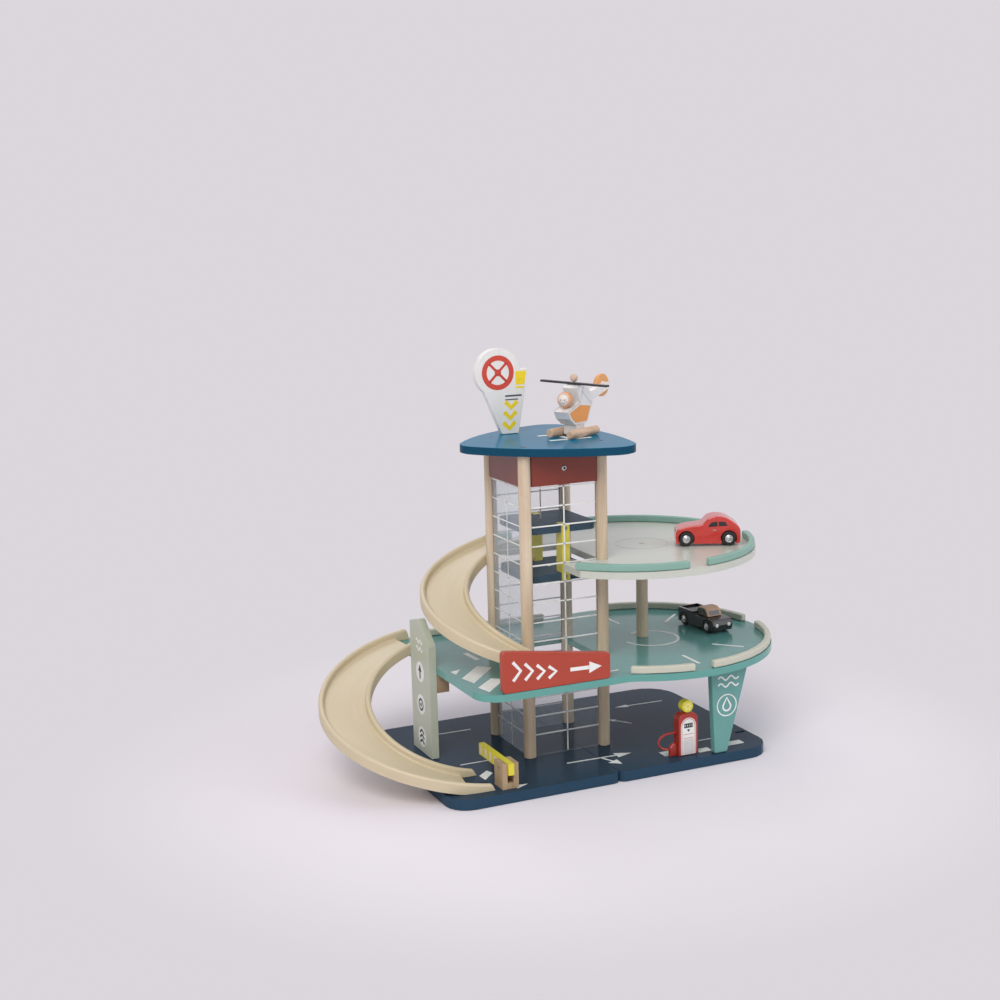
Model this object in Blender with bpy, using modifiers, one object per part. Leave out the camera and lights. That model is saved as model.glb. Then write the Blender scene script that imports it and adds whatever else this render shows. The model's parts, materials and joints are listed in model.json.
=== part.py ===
"""Wooden toy parking garage with a lift tower, two parking decks and two curved ramps.

Metres, +Z up, front towards -Y. The origin is on the lift shaft's axis, at the
underside of the base boards. Four round posts carry the landing pad, two decks hang
on them, and a channel-shaped ramp leaves each deck at its back left corner and comes
down in half a turn. The lift, the winding spindle, the barrier, the helicopter and
both cars move.
"""

import math

import bmesh
import bpy
from mathutils import Matrix, Vector

for stale in list(bpy.data.objects):
    bpy.data.objects.remove(stale, do_unlink=True)

# Fits between pieces
GAP = 0.0003
RUNNING = 0.0003
EASE = 0.0008
WELD = 0.000005

# Rounded edges of boards and pieces
EDGE_BOARD = 0.0012
EDGE_PAD = 0.0015
EDGE_RIM = 0.001
EDGE_PLATE = 0.001
EDGE_SIGN = 0.0008
EDGE_SMALL = 0.0006
EDGE_ROTOR = 0.0005
EDGE_CAR = 0.0022
EDGE_CAB = 0.0015

# Base boards
BASE_LEFT = 0.1805
BASE_RIGHT = 0.2195
BASE_FRONT = 0.1425
BASE_BACK = 0.1275
BASE_SEAM = 0.0195
BASE_THICK = 0.012
BASE_CORNER_FRONT_LEFT = 0.026
BASE_CORNER_FRONT_RIGHT = 0.030
BASE_CORNER_BACK = 0.040
BASE_SEAM_CORNER = 0.008
BASE_SLOT_LONG = 0.012
BASE_SLOT_WIDE = 0.005
BASE_SLOT_X = 0.2095
BASE_SLOT_Y = -0.0855

# Lift tower
POST_PITCH = 0.095
POST_DIAMETER = 0.014
PANEL_THICK = 0.002
PANEL_SEAT = 0.002
FASCIA_THICK = 0.008
FASCIA_HIGH = 0.036
SHAFT_SETBACK = 0.002

# Levels
MID_RISE = 0.100
STOREY = 0.106
TOP_RISE = 0.127
DECK_THICK = 0.008
PAD_THICK = 0.009

# Landing pad
PAD_CENTRE_X = 0.0025
PAD_CENTRE_Y = 0.0025
PAD_CORNER = 0.030
PAD_LEFT = 0.103
PAD_RIGHT = 0.080
PAD_HALF_WIDTH = 0.108
PAD_RIGHT_SETBACK = 0.0385
PAD_SIDE_BULGE = 0.013

# Middle deck
MID_LEFT = 0.141
MID_FRONT = 0.1355
MID_BACK = 0.1355
MID_CORNER = 0.028
MID_BACK_CORNER = 0.006
MID_BLEND = 0.030
MID_ROUND_X = 0.1225
MID_ROUND_RADIUS = 0.152
MID_BULGE_SHARE = 3 / 11
TONGUE_OUT = 0.0045
TONGUE_FRONT = 0.1045

# Upper deck
UPPER_ROUND_X = 0.1105
UPPER_ROUND_Y = 0.0025
UPPER_ROUND_RADIUS = 0.148
UPPER_LOBE_LEFT = 0.0025
UPPER_NOTCH_EASE = 0.002
UPPER_ARM_LEFT = 0.0265

# Rims of the decks
RIM_WIDE = 0.007
RIM_HIGH = 0.008
RIM_INSET = 0.001
MID_RIM_FRONT = (-124.0, -96.0)
MID_RIM_RIGHT = (-87.0, -8.0)
MID_RIM_BACK = (4.0, 80.0)
MID_RIM_STRAIGHT = (-0.105, 0.055)
UPPER_RIM_FRONT = (-142.5, -91.0)
UPPER_RIM_RIGHT = (-81.0, -12.0)
UPPER_RIM_BACK = (0.0, 118.0)
UPPER_RIM_STRAIGHT_END = 0.004

# Post between the decks
DECK_POST_X = 0.1265
DECK_POST_Y = 0.0025

# Ramps: a channel with a floor and two rails
UPPER_RAMP_FLOOR = 0.0055
UPPER_RAIL_HIGH = 0.0085
LOWER_RAMP_FLOOR = 0.005
LOWER_RAIL_HIGH = 0.0085
RAMP_RAIL_WIDE = 0.006
RAMP_STEPS = 30
UPPER_RAMP_X = -0.0362
UPPER_RAMP_Y = -0.001
UPPER_RAMP_FROM_POSTS = 0.003
UPPER_RAMP_WIDE = 0.056
UPPER_RAMP_END = 0.020
UPPER_RAIL_LEAD = 0.025
UPPER_RAMP_SINK = 0.001
LOWER_RAMP_X = -0.1315
LOWER_RAMP_Y = 0.0025
LOWER_RAMP_INNER_LONG = 0.084
LOWER_RAMP_INNER_WIDE = 0.072
LOWER_RAMP_WIDE = 0.059
LOWER_RAMP_START = 0.006
LOWER_RAMP_END = 0.006
LOWER_RAMP_SINK = 0.0015
LOWER_FLOOR_START = 0.1405
LOWER_FLOOR_END = 0.1485
UPPER_RAMP_BEND = (0.09, 0.12)
LOWER_RAMP_EASE = 0.52

# Lift cabin
LIFT_EASE_LEFT = 0.0045
LIFT_EASE_RIGHT = 0.0015
LIFT_EASE_SIDES = 0.0035
LIFT_CORNER = 0.009
LIFT_PLATE = 0.009
LIFT_FLOOR_Z = 0.213
LIFT_ROOM = 0.0465
STRUT_X = 0.004
STRUT_WIDE = 0.010
STRUT_DEEP = 0.016
STRUT_PROUD = 0.0015

# Winch
SPINDLE_RADIUS = 0.003
DRUM_RADIUS = 0.0052
DRUM_LONG = 0.012
FLANGE_RADIUS = 0.010
FLANGE_THICK = 0.002
CORD_RADIUS = 0.0008
KNOB_LONG = 0.062
KNOB_NECK = 0.0055
KNOB_BULGE = 0.0085
KNOB_SOCKET = 0.010

# Signs
PARKING_LEFT = -0.1175
PARKING_RIGHT = 0.0115
PARKING_THICK = 0.008
PARKING_HIGH_LEFT = 0.047
PARKING_HIGH_RIGHT = 0.029
PARKING_CORNER = 0.004
RAMP_SIGN_THICK = 0.009
RAMP_SIGN_FRONT = -0.0025
RAMP_SIGN_DEEP = 0.058
RAMP_SIGN_FRONT_HIGH = 0.134
RAMP_SIGN_PEAK_HIGH = 0.159
RAMP_SIGN_BACK_HIGH = 0.152
RAMP_SIGN_PEAK = 0.031
RAMP_SIGN_CORNER = 0.006
RAMP_SIGN_BACK_CORNER = 0.003
BATTEN_WIDE = 0.0145
BATTEN_HIGH = 0.022
BATTEN_FRONT = -0.0025
BATTEN_LONG = 0.048
SERVICE_FRONT = -0.1395
SERVICE_THICK = 0.009
SERVICE_FOOT_LEFT = 0.1425
SERVICE_FOOT_WIDE = 0.016
SERVICE_TOP_LEFT = 0.1375
SERVICE_TOP_WIDE = 0.048
TOP_SIGN_FRONT = 0.0545
TOP_SIGN_THICK = 0.009
TOP_SIGN_FOOT_LEFT = -0.0275
TOP_SIGN_FOOT_WIDE = 0.021
TOP_SIGN_HEAD_X = -0.0315
TOP_SIGN_HEAD_HIGH = 0.072
TOP_SIGN_HEAD_RADIUS = 0.028
TOP_SIGN_SHOULDER = 0.075
TOP_SIGN_RIGHT = 0.0065

# Barrier
BARRIER_LEFT = -0.1195
BARRIER_WIDE = 0.019
BARRIER_FRONT = -0.1325
BARRIER_DEEP = 0.022
BARRIER_HIGH = 0.029
BARRIER_SLOT_FLOOR = 0.007
ARM_THICK = 0.0065
ARM_HIGH = 0.013
ARM_TAIL = 0.014
ARM_REACH = 0.068
ARM_PIVOT_DEEP = 0.011
ARM_PIVOT_HIGH = 0.023
PIN_RADIUS = 0.002

# Fuel pump
PUMP_LEFT = 0.1015
PUMP_WIDE = 0.025
PUMP_FRONT = -0.1285
PUMP_DEEP = 0.012
PUMP_HIGH = 0.050
PUMP_SHOULDER = 0.008
GLOBE_RADIUS = 0.00725
GLOBE_LONG = 0.010
HOSE_RADIUS = 0.0013
HOSE_TOP_HIGH = 0.0275
HOSE_LOW_HIGH = 0.0085
HOSE_REACH = 0.023
NOZZLE_WIDE = 0.009
NOZZLE_HIGH = 0.015
NOZZLE_THICK = 0.005

# Helicopter
HELI_X = 0.037
HELI_Y = -0.0004
HELI_HEADING = -152.0
HELI_THICK = 0.020
BOOM_THICK = 0.008
SKID_RADIUS = 0.005
SKID_LONG = 0.054
SKID_SPACING = 0.028
PILOT_RADIUS = 0.009
PILOT_FORWARD = 0.0144
PILOT_HIGH = 0.0427
ROTOR_LONG = 0.104
ROTOR_WIDE = 0.006
ROTOR_THICK = 0.0025
ROTOR_BACK = 0.003
ROTOR_TURN = 82.0
ROTOR_BALL_RADIUS = 0.0046
TAIL_DISC_RADIUS = 0.0133
TAIL_DISC_THICK = 0.005
HELI_BELLY = 0.0142
HELI_FLOOR_FRONT = 0.0095
HELI_FLOOR_BACK = 0.0145
HELI_CHIN = 0.019
HELI_CHIN_RISE = 0.007
HELI_NOSE = 0.0235
HELI_NOSE_RISE = 0.0155
HELI_DASH_BACK = 0.001
HELI_DASH_RISE = 0.0245
HELI_BROW = 0.006
HELI_BROW_DROP = 0.003
HELI_BACK = 0.0245
HELI_BACK_RISE = 0.021
HELI_FOOT_FRONT = 0.006
HELI_FOOT_BACK = 0.010
HELI_FOOT_RISE = 0.004
CABIN_HIGH = 0.0585
CABIN_RADIUS = 0.021
CABIN_CENTRE_BACK = 0.004
BOOM_ROOT = 0.015
BOOM_ROOT_LOW = 0.018
BOOM_ROOT_HIGH = 0.031
BOOM_END_BACK = 0.0665
BOOM_END_HIGH = 0.0515
BOOM_END_RADIUS = 0.004

# Cars
COUPE_FROM_RIGHT = 0.0665
COUPE_FROM_MIDDLE = 0.040
COUPE_HEADING = 154.5
COUPE_WHEELBASE = 0.050
COUPE_WIDE = 0.032
COUPE_WHEEL_RADIUS = 0.0085
COUPE_BELLY = 0.003
COUPE_FRONT_OVERHANG = 0.0128
COUPE_REAR_OVERHANG = 0.0138
COUPE_LAMPS_HIGH = 0.013
COUPE_NOSE_HIGH = 0.0205
COUPE_NOSE_SLOPE = 0.003
COUPE_BONNET = 0.022
COUPE_BONNET_HIGH = 0.0235
COUPE_SCREEN = 0.0065
COUPE_SCREEN_HIGH = 0.0255
COUPE_ROOF_BACK = 0.0115
COUPE_ROOF_CENTRE_HIGH = 0.0065
COUPE_ROOF_RADIUS = 0.0285
COUPE_TAIL_SLOPE = 0.0016
COUPE_TAIL_HIGH = 0.0222
COUPE_BUMPER_HIGH = 0.0165
BUMPER_TUCK = 0.001
PICKUP_FROM_RIGHT = 0.061
PICKUP_FROM_MIDDLE = 0.0087
PICKUP_HEADING = -85.0
PICKUP_WHEELBASE = 0.047
PICKUP_WIDE = 0.030
PICKUP_WHEEL_RADIUS = 0.0075
PICKUP_BELLY = 0.003
PICKUP_FRONT_OVERHANG = 0.013
PICKUP_REAR_OVERHANG = 0.014
PICKUP_NOSE_HIGH = 0.0105
PICKUP_NOSE_SLOPE = 0.003
PICKUP_HOOD_HIGH = 0.0175
PICKUP_CAB_SETBACK = 0.003
PICKUP_CAB_LONG = 0.0245
PICKUP_CAB_HIGH = 0.0105
PICKUP_CAB_WIDE = 0.021
PICKUP_SCREEN_SLOPE = 0.0045
PICKUP_BROW = 0.008
PICKUP_CAB_BACK_SLOPE = 0.0015
PICKUP_ROOF_BACK = 0.0045
PICKUP_ROOF_EDGE = 0.002
PICKUP_BED_HIGH = 0.021
PICKUP_BED_DEEP = 0.0035
PICKUP_BED_WALL = 0.003
WHEEL_WIDE = 0.0065
AXLE_RADIUS = 0.0015
ARCH_CLEARANCE = 0.001

# Levels that follow from the values above
BASE_TOP = BASE_THICK
MID_UNDER = BASE_TOP + MID_RISE
MID_TOP = MID_UNDER + DECK_THICK
UPPER_UNDER = MID_TOP + STOREY
UPPER_TOP = UPPER_UNDER + DECK_THICK
POST_TOP = UPPER_TOP + TOP_RISE
PAD_TOP = POST_TOP + PAD_THICK
FASCIA_UNDER = POST_TOP - FASCIA_HIGH
HALF_PITCH = POST_PITCH / 2
MID_ROUND_Y = (MID_BACK + MID_BULGE_SHARE * (2 * MID_ROUND_RADIUS - MID_FRONT - MID_BACK)
               - MID_ROUND_RADIUS)
POST_RADIUS = POST_DIAMETER / 2
SHAFT_RIGHT = HALF_PITCH - SHAFT_SETBACK
UPPER_NOTCH_FRONT = HALF_PITCH + PANEL_THICK / 2 + UPPER_NOTCH_EASE
UPPER_NOTCH_BACK = HALF_PITCH + POST_RADIUS
UPPER_RAMP_INNER = HALF_PITCH + POST_RADIUS + UPPER_RAMP_FROM_POSTS
LIFT_LEFT = HALF_PITCH - PANEL_THICK / 2 - LIFT_EASE_LEFT
LIFT_RIGHT = SHAFT_RIGHT - LIFT_EASE_RIGHT
LIFT_HALF_DEEP = HALF_PITCH - PANEL_THICK / 2 - LIFT_EASE_SIDES
POST_HOLE = POST_RADIUS + GAP
WELL = HALF_PITCH + PANEL_THICK / 2 + GAP
LIFT_ROOF_Z = LIFT_FLOOR_Z + LIFT_PLATE + LIFT_ROOM
SPINDLE_Z = POST_TOP - FASCIA_HIGH / 2

garage = bpy.data.collections.new("toy_garage")
cutters = bpy.data.collections.new("cutters")
bpy.context.scene.collection.children.link(garage)
bpy.context.scene.collection.children.link(cutters)


def material(name, colour, roughness, metallic=0.0, alpha=1.0):
    """A Principled material from a hex colour as seen on screen."""
    levels = [int(colour[i:i + 2], 16) / 255 for i in (0, 2, 4)]
    linear = [v / 12.92 if v <= 0.04045 else ((v + 0.055) / 1.055) ** 2.4 for v in levels]
    made = bpy.data.materials.new(name)
    made.use_nodes = True
    shader = made.node_tree.nodes["Principled BSDF"]
    shader.inputs["Base Color"].default_value = (*linear, 1.0)
    shader.inputs["Roughness"].default_value = roughness
    shader.inputs["Metallic"].default_value = metallic
    shader.inputs["Alpha"].default_value = alpha
    return made


def add(name, mesh, look, parent=None, location=(0, 0, 0), rotation=(0, 0, 0)):
    """Put a finished mesh in the garage's collection under a name of its own."""
    mesh.name = name
    body = bpy.data.objects.new(name, mesh)
    mesh.materials.clear()
    mesh.materials.append(look)
    mesh.shade_smooth()
    mesh.set_sharp_from_angle(angle=math.radians(32))
    body.location = location
    body.rotation_euler = rotation
    body.parent = parent
    garage.objects.link(body)
    return body


def empty(name, location, turn=0.0):
    """A guide that carries the pieces of something that moves as one."""
    guide = bpy.data.objects.new(name, None)
    guide.location = location
    guide.rotation_euler = (0, 0, math.radians(turn))
    garage.objects.link(guide)
    return guide


def from_bmesh(bm):
    """Turn a bmesh into a mesh with its faces pointing out."""
    bmesh.ops.recalc_face_normals(bm, faces=bm.faces)
    mesh = bpy.data.meshes.new("shape")
    bm.to_mesh(mesh)
    bm.free()
    return mesh


def box_mesh(low, high):
    """An axis-aligned box between two corners."""
    bm = bmesh.new()
    size = [b - a for a, b in zip(low, high)]
    middle = [(a + b) / 2 for a, b in zip(low, high)]
    shift = Matrix.Translation(middle) @ Matrix.Diagonal((*size, 1.0))
    bmesh.ops.create_cube(bm, size=1.0, matrix=shift)
    return from_bmesh(bm)


def rod_mesh(radius, start, end, segments=24):
    """A cylinder between two points."""
    axis = Vector(end) - Vector(start)
    turn = Vector((0, 0, 1)).rotation_difference(axis).to_matrix().to_4x4()
    place = Matrix.Translation((Vector(start) + Vector(end)) / 2) @ turn
    bm = bmesh.new()
    bmesh.ops.create_cone(bm, cap_ends=True, segments=segments, radius1=radius,
                          radius2=radius, depth=axis.length, matrix=place)
    return from_bmesh(bm)


def ball_mesh(radius, centre, rings=10):
    """A sphere about a point."""
    bm = bmesh.new()
    bmesh.ops.create_uvsphere(bm, u_segments=2 * rings, v_segments=rings, radius=radius,
                              matrix=Matrix.Translation(centre))
    return from_bmesh(bm)


def mesh_of_curve(guide):
    """Make a curve object's evaluated shape a welded mesh and remove the curve."""
    bpy.context.scene.collection.objects.link(guide)
    bpy.context.view_layer.update()
    depsgraph = bpy.context.evaluated_depsgraph_get()
    mesh = bpy.data.meshes.new_from_object(guide.evaluated_get(depsgraph))
    bm = bmesh.new()
    bm.from_mesh(mesh)
    bpy.data.meshes.remove(mesh)
    bmesh.ops.remove_doubles(bm, verts=bm.verts, dist=WELD)
    data = guide.data
    bpy.data.objects.remove(guide)
    bpy.data.curves.remove(data)
    return from_bmesh(bm)


def poly_curve(name, points, cyclic, dimensions):
    """A curve object with one poly spline through the points."""
    curve = bpy.data.curves.new(name, "CURVE")
    curve.dimensions = dimensions
    spline = curve.splines.new("POLY")
    spline.points.add(len(points) - 1)
    for knot, point in zip(spline.points, points):
        knot.co = (*point, 1.0) if len(point) == 3 else (*point, 0.0, 1.0)
    spline.use_cyclic_u = cyclic
    return bpy.data.objects.new(name, curve)


def plate_mesh(outline, low, high, plane="XY"):
    """A flat outline extruded from low to high along the plane's normal.

    XY plates rise along +Z, XZ plates run along +Y and YZ plates along +X.
    """
    guide = poly_curve("outline", outline, True, "2D")
    guide.data.fill_mode = "BOTH"
    guide.data.extrude = (high - low) / 2
    mesh = mesh_of_curve(guide)
    mesh.transform(Matrix.Translation((0, 0, (low + high) / 2)))
    if plane == "XZ":
        mesh.transform(Matrix(((1, 0, 0, 0), (0, 0, 1, 0), (0, 1, 0, 0), (0, 0, 0, 1))))
        mesh.flip_normals()
    if plane == "YZ":
        mesh.transform(Matrix(((0, 0, 1, 0), (1, 0, 0, 0), (0, 1, 0, 0), (0, 0, 0, 1))))
    return mesh


def arc(centre, radius, start, end, steps):
    """Points on an arc, angles in degrees, both ends included."""
    points = []
    for i in range(steps + 1):
        angle = math.radians(start + (end - start) * i / steps)
        points.append((centre[0] + radius * math.cos(angle),
                       centre[1] + radius * math.sin(angle)))
    return points


def rounded(corners, steps=5):
    """A polygon from (x, y, radius) corners, each corner filleted by its own radius."""
    outline = []
    count = len(corners)
    for i, (x, y, radius) in enumerate(corners):
        here = Vector((x, y))
        before = (Vector(corners[i - 1][:2]) - here).normalized()
        after = (Vector(corners[(i + 1) % count][:2]) - here).normalized()
        if radius <= 0:
            outline.append((x, y))
            continue
        half = before.angle(after) / 2
        middle = here + (before + after).normalized() * radius / math.sin(half)
        first = here + before * radius / math.tan(half) - middle
        last = here + after * radius / math.tan(half) - middle
        start = math.degrees(math.atan2(first.y, first.x))
        sweep = math.degrees(math.atan2(last.y, last.x)) - start
        sweep = (sweep + 180) % 360 - 180
        outline += arc(middle, radius, start, start + sweep, steps)
    return outline


def bevel(body, width, segments=2, angle=40):
    """Round the edges of a body that are sharper than an angle."""
    rounding = body.modifiers.new("round", "BEVEL")
    rounding.width = width
    rounding.segments = segments
    rounding.limit_method = "ANGLE"
    rounding.angle_limit = math.radians(angle)
    rounding.use_clamp_overlap = True
    return body


def cutter(name, mesh):
    """A shape that only cuts others."""
    tool = bpy.data.objects.new(name, mesh)
    tool.hide_render = True
    tool.display_type = "WIRE"
    cutters.objects.link(tool)
    return tool


def combine(body, tool, operation="DIFFERENCE"):
    """Cut a body with a cutter, or join a cutter's shape to it."""
    step = body.modifiers.new(tool.name, "BOOLEAN")
    step.operation = operation
    step.solver = "EXACT"
    step.object = tool
    return body


def turned(name, profile, look, parent, location, rotation, steps=24):
    """Add a shape turned about its own Z from (radius, height) points given upwards.

    The profile lies at +X and runs down its outer side, from the top to the foot.
    """
    bm = bmesh.new()
    verts = [bm.verts.new((radius, 0, height)) for radius, height in profile[::-1]]
    for first, second in zip(verts, verts[1:]):
        bm.edges.new((first, second))
    mesh = bpy.data.meshes.new(name)
    bm.to_mesh(mesh)
    bm.free()
    body = add(name, mesh, look, parent, location, rotation)
    turn = body.modifiers.new("turn", "SCREW")
    turn.axis = "Z"
    turn.angle = math.tau
    turn.steps = steps
    turn.render_steps = steps
    turn.use_merge_vertices = True
    turn.merge_threshold = WELD
    turn.use_smooth_shade = True
    return body


# Materials
wood = material("beech", "C9B295", 0.55)
ramp_paint = material("ramp_cream", "D6C9AC", 0.5)
base_paint = material("base_navy", "363744", 0.35)
pad_paint = material("pad_blue", "2C6E92", 0.3)
fascia_paint = material("fascia_brick", "8E3B31", 0.4)
clear = material("clear_panel", "E4E9EC", 0.06, alpha=0.25)
mid_paint = material("middle_deck_green", "77A197", 0.35)
upper_paint = material("upper_deck_sage", "BEC5B8", 0.4)
mid_rim_paint = material("cream_rim", "CDCBB6", 0.45)
upper_rim_paint = material("teal_rim", "7AA393", 0.45)
sign_red = material("sign_red", "A6442F", 0.4)
sign_sage = material("sign_sage", "B4BFB0", 0.45)
sign_teal = material("sign_teal", "6F9F99", 0.45)
sign_white = material("sign_white", "E9E8E4", 0.4)
lift_paint = material("lift_blue", "2E5468", 0.35)
yellow = material("yellow_paint", "E0D23C", 0.4)
pump_red = material("pump_red", "A03A2C", 0.4)
heli_paint = material("helicopter_white", "E6E4E2", 0.4)
orange = material("orange_paint", "E0A262", 0.4)
black = material("black_paint", "2B2728", 0.35)
car_red = material("car_red", "CF3A36", 0.3)
cord_fibre = material("cord_fibre", "D9D2C4", 0.8)
steel = material("steel_pin", "B9BBBE", 0.3, metallic=1.0)

# Base: two boards that meet at a seam, with a small slot at the right for a sign's foot
left_outline = rounded([
    (-BASE_LEFT, -BASE_FRONT, BASE_CORNER_FRONT_LEFT),
    (BASE_SEAM - GAP / 2, -BASE_FRONT, BASE_SEAM_CORNER),
    (BASE_SEAM - GAP / 2, BASE_BACK, BASE_SEAM_CORNER),
    (-BASE_LEFT, BASE_BACK, BASE_CORNER_FRONT_LEFT)])
right_outline = rounded([
    (BASE_SEAM + GAP / 2, -BASE_FRONT, BASE_SEAM_CORNER),
    (BASE_RIGHT, -BASE_FRONT, BASE_CORNER_FRONT_RIGHT),
    (BASE_RIGHT, BASE_BACK, BASE_CORNER_BACK),
    (BASE_SEAM + GAP / 2, BASE_BACK, BASE_SEAM_CORNER)])
bevel(add("base_left", plate_mesh(left_outline, 0, BASE_THICK), base_paint), EDGE_BOARD)
base_right = add("base_right", plate_mesh(right_outline, 0, BASE_THICK), base_paint)
combine(base_right, cutter("base_slot", box_mesh(
    (BASE_SLOT_X - BASE_SLOT_LONG / 2, BASE_SLOT_Y - BASE_SLOT_WIDE / 2, -BASE_THICK),
    (BASE_SLOT_X + BASE_SLOT_LONG / 2, BASE_SLOT_Y + BASE_SLOT_WIDE / 2, 2 * BASE_THICK))))
bevel(base_right, EDGE_BOARD)

# Posts, each with a groove for every panel that it holds
POST_GROOVES = {"post_front_left": (-1, -1, ((1, 0), (0, 1))),
                "post_front_right": (1, -1, ((-1, 0),)),
                "post_back_left": (-1, 1, ((1, 0), (0, -1))),
                "post_back_right": (1, 1, ((-1, 0),))}
groove_half = PANEL_THICK / 2 + GAP
for name, (side_x, side_y, grooves) in POST_GROOVES.items():
    centre = (side_x * HALF_PITCH, side_y * HALF_PITCH)
    post = add(name, rod_mesh(POST_RADIUS, (*centre, BASE_TOP + GAP),
                              (*centre, POST_TOP - GAP)), wood)
    for toward_x, toward_y in grooves:
        near = POST_RADIUS - PANEL_SEAT - GAP
        far = POST_RADIUS + PANEL_THICK
        ends = sorted((toward_x * near, toward_x * far)) if toward_x else (-groove_half, groove_half)
        sides = sorted((toward_y * near, toward_y * far)) if toward_y else (-groove_half, groove_half)
        low = (centre[0] + ends[0], centre[1] + sides[0], 0.0)
        high = (centre[0] + ends[1], centre[1] + sides[1], FASCIA_UNDER)
        combine(post, cutter("groove", box_mesh(low, high)))

# Clear panels stand in the grooves on three sides; the right side is open to the decks
panel_half = HALF_PITCH - POST_RADIUS + PANEL_SEAT
panel_low = BASE_TOP + GAP
panel_high = FASCIA_UNDER - GAP
add("panel_front", box_mesh((-panel_half, -HALF_PITCH - PANEL_THICK / 2, panel_low),
                            (panel_half, -HALF_PITCH + PANEL_THICK / 2, panel_high)), clear)
add("panel_back", box_mesh((-panel_half, HALF_PITCH - PANEL_THICK / 2, panel_low),
                           (panel_half, HALF_PITCH + PANEL_THICK / 2, panel_high)), clear)
add("panel_left", box_mesh((-HALF_PITCH - PANEL_THICK / 2, -panel_half, panel_low),
                           (-HALF_PITCH + PANEL_THICK / 2, panel_half, panel_high)), clear)

# Boards under the pad; the front and back ones bear the spindle
board_half = HALF_PITCH - POST_HOLE
board_out = HALF_PITCH + FASCIA_THICK / 2
board_in = HALF_PITCH - FASCIA_THICK / 2
spindle_bore = cutter("spindle_bore", rod_mesh(SPINDLE_RADIUS + RUNNING,
                                               (0, -POST_PITCH, SPINDLE_Z),
                                               (0, POST_PITCH, SPINDLE_Z)))
for name, low, high in (
        ("fascia_front", (-board_half, -board_out), (board_half, -board_in)),
        ("fascia_back", (-board_half, board_in), (board_half, board_out)),
        ("fascia_left", (-board_out, -board_half), (-board_in, board_half)),
        ("fascia_right", (board_in, -board_half), (board_out, board_half))):
    board = add(name, box_mesh((*low, FASCIA_UNDER), (*high, POST_TOP - GAP)), fascia_paint)
    if name in ("fascia_front", "fascia_back"):
        combine(board, spindle_bore)

# Landing pad: a triangle of three corner circles joined by wide bulged arcs


def bulged_triangle(centres, radius, bulges, corner_steps=8, side_steps=8):
    """Join equal corner circles by arcs that bulge past their common tangents.

    The arc from circle A to circle B bulges by b at its middle. With half the chord h
    and the arc's centre at c behind the chord, (c + b)^2 = c^2 + h^2.
    """
    sides = []
    for i, bulge in enumerate(bulges):
        first = Vector(centres[i])
        second = Vector(centres[(i + 1) % 3])
        chord = second - first
        out = Vector((chord.y, -chord.x)).normalized()
        back = ((chord.length / 2) ** 2 - bulge ** 2) / (2 * bulge)
        middle = (first + second) / 2 - out * back
        start = first - middle
        end = second - middle
        sides.append((middle, start.length + radius,
                      math.degrees(math.atan2(start.y, start.x)),
                      math.degrees(math.atan2(end.y, end.x))))
    outline = []
    for i, (middle, reach, start, end) in enumerate(sides):
        sweep = (end - start) % 360
        outline += arc(middle, reach, start, start + sweep, side_steps)[:-1]
        turn = (sides[(i + 1) % 3][2] - end) % 360
        outline += arc(centres[(i + 1) % 3], radius, end, end + turn, corner_steps)[:-1]
    return outline


pad_left = (PAD_CENTRE_X - PAD_LEFT + PAD_CORNER, PAD_CENTRE_Y)
pad_right_x = PAD_CENTRE_X + PAD_RIGHT - PAD_RIGHT_SETBACK
pad_side_y = PAD_HALF_WIDTH - PAD_CORNER
pad_outline = bulged_triangle(
    [pad_left, (pad_right_x, PAD_CENTRE_Y - pad_side_y), (pad_right_x, PAD_CENTRE_Y + pad_side_y)],
    PAD_CORNER, [PAD_SIDE_BULGE, PAD_RIGHT_SETBACK - PAD_CORNER, PAD_SIDE_BULGE])
bevel(add("helipad", plate_mesh(pad_outline, POST_TOP, PAD_TOP), pad_paint), EDGE_PAD)


def blend_arc(line_y, side, centre, radius, blend):
    """A hollow fillet between a straight edge at line_y and a round end right of it.

    side is -1 for a front edge and 1 for a back edge. The fillet's centre lies outside
    the deck, blend from the edge and radius + blend from the round end's centre.
    """
    middle_y = line_y + side * blend
    reach = radius + blend
    middle_x = centre[0] - math.sqrt(reach ** 2 - (middle_y - centre[1]) ** 2)
    to_round = math.degrees(math.atan2(centre[1] - middle_y, centre[0] - middle_x))
    return arc((middle_x, middle_y), blend, -side * 90, to_round, 4), to_round


# Middle deck: a straight part round the tower and a round end, and a tongue for the ramp
mid_round = (MID_ROUND_X, MID_ROUND_Y)
front_blend, front_turn = blend_arc(-MID_FRONT, -1, mid_round, MID_ROUND_RADIUS, MID_BLEND)
back_blend, back_turn = blend_arc(MID_BACK, 1, mid_round, MID_ROUND_RADIUS, MID_BLEND)
mid_outline = arc((-MID_LEFT + MID_CORNER, -MID_FRONT + MID_CORNER), MID_CORNER, 180, 270, 8)
mid_outline += front_blend
mid_outline += arc(mid_round, MID_ROUND_RADIUS, front_turn - 180, back_turn + 180, 44)[1:-1]
mid_outline += back_blend[::-1]
tongue_left = -MID_LEFT - TONGUE_OUT
mid_outline += arc((tongue_left + MID_BACK_CORNER, MID_BACK - MID_BACK_CORNER),
                   MID_BACK_CORNER, 90, 180, 4)
mid_outline += [(tongue_left, TONGUE_FRONT), (-MID_LEFT, TONGUE_FRONT)]
mid_deck = add("mid_deck", plate_mesh(mid_outline, MID_UNDER, MID_TOP), mid_paint)
combine(mid_deck, cutter("mid_well", box_mesh((-WELL, -WELL, 0), (SHAFT_RIGHT, WELL, POST_TOP))))
for side_x in (-1, 1):
    for side_y in (-1, 1):
        at = (side_x * HALF_PITCH, side_y * HALF_PITCH)
        hole = cutter("mid_post_hole", rod_mesh(POST_HOLE, (*at, 0), (*at, POST_TOP)))
        combine(mid_deck, hole)
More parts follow.
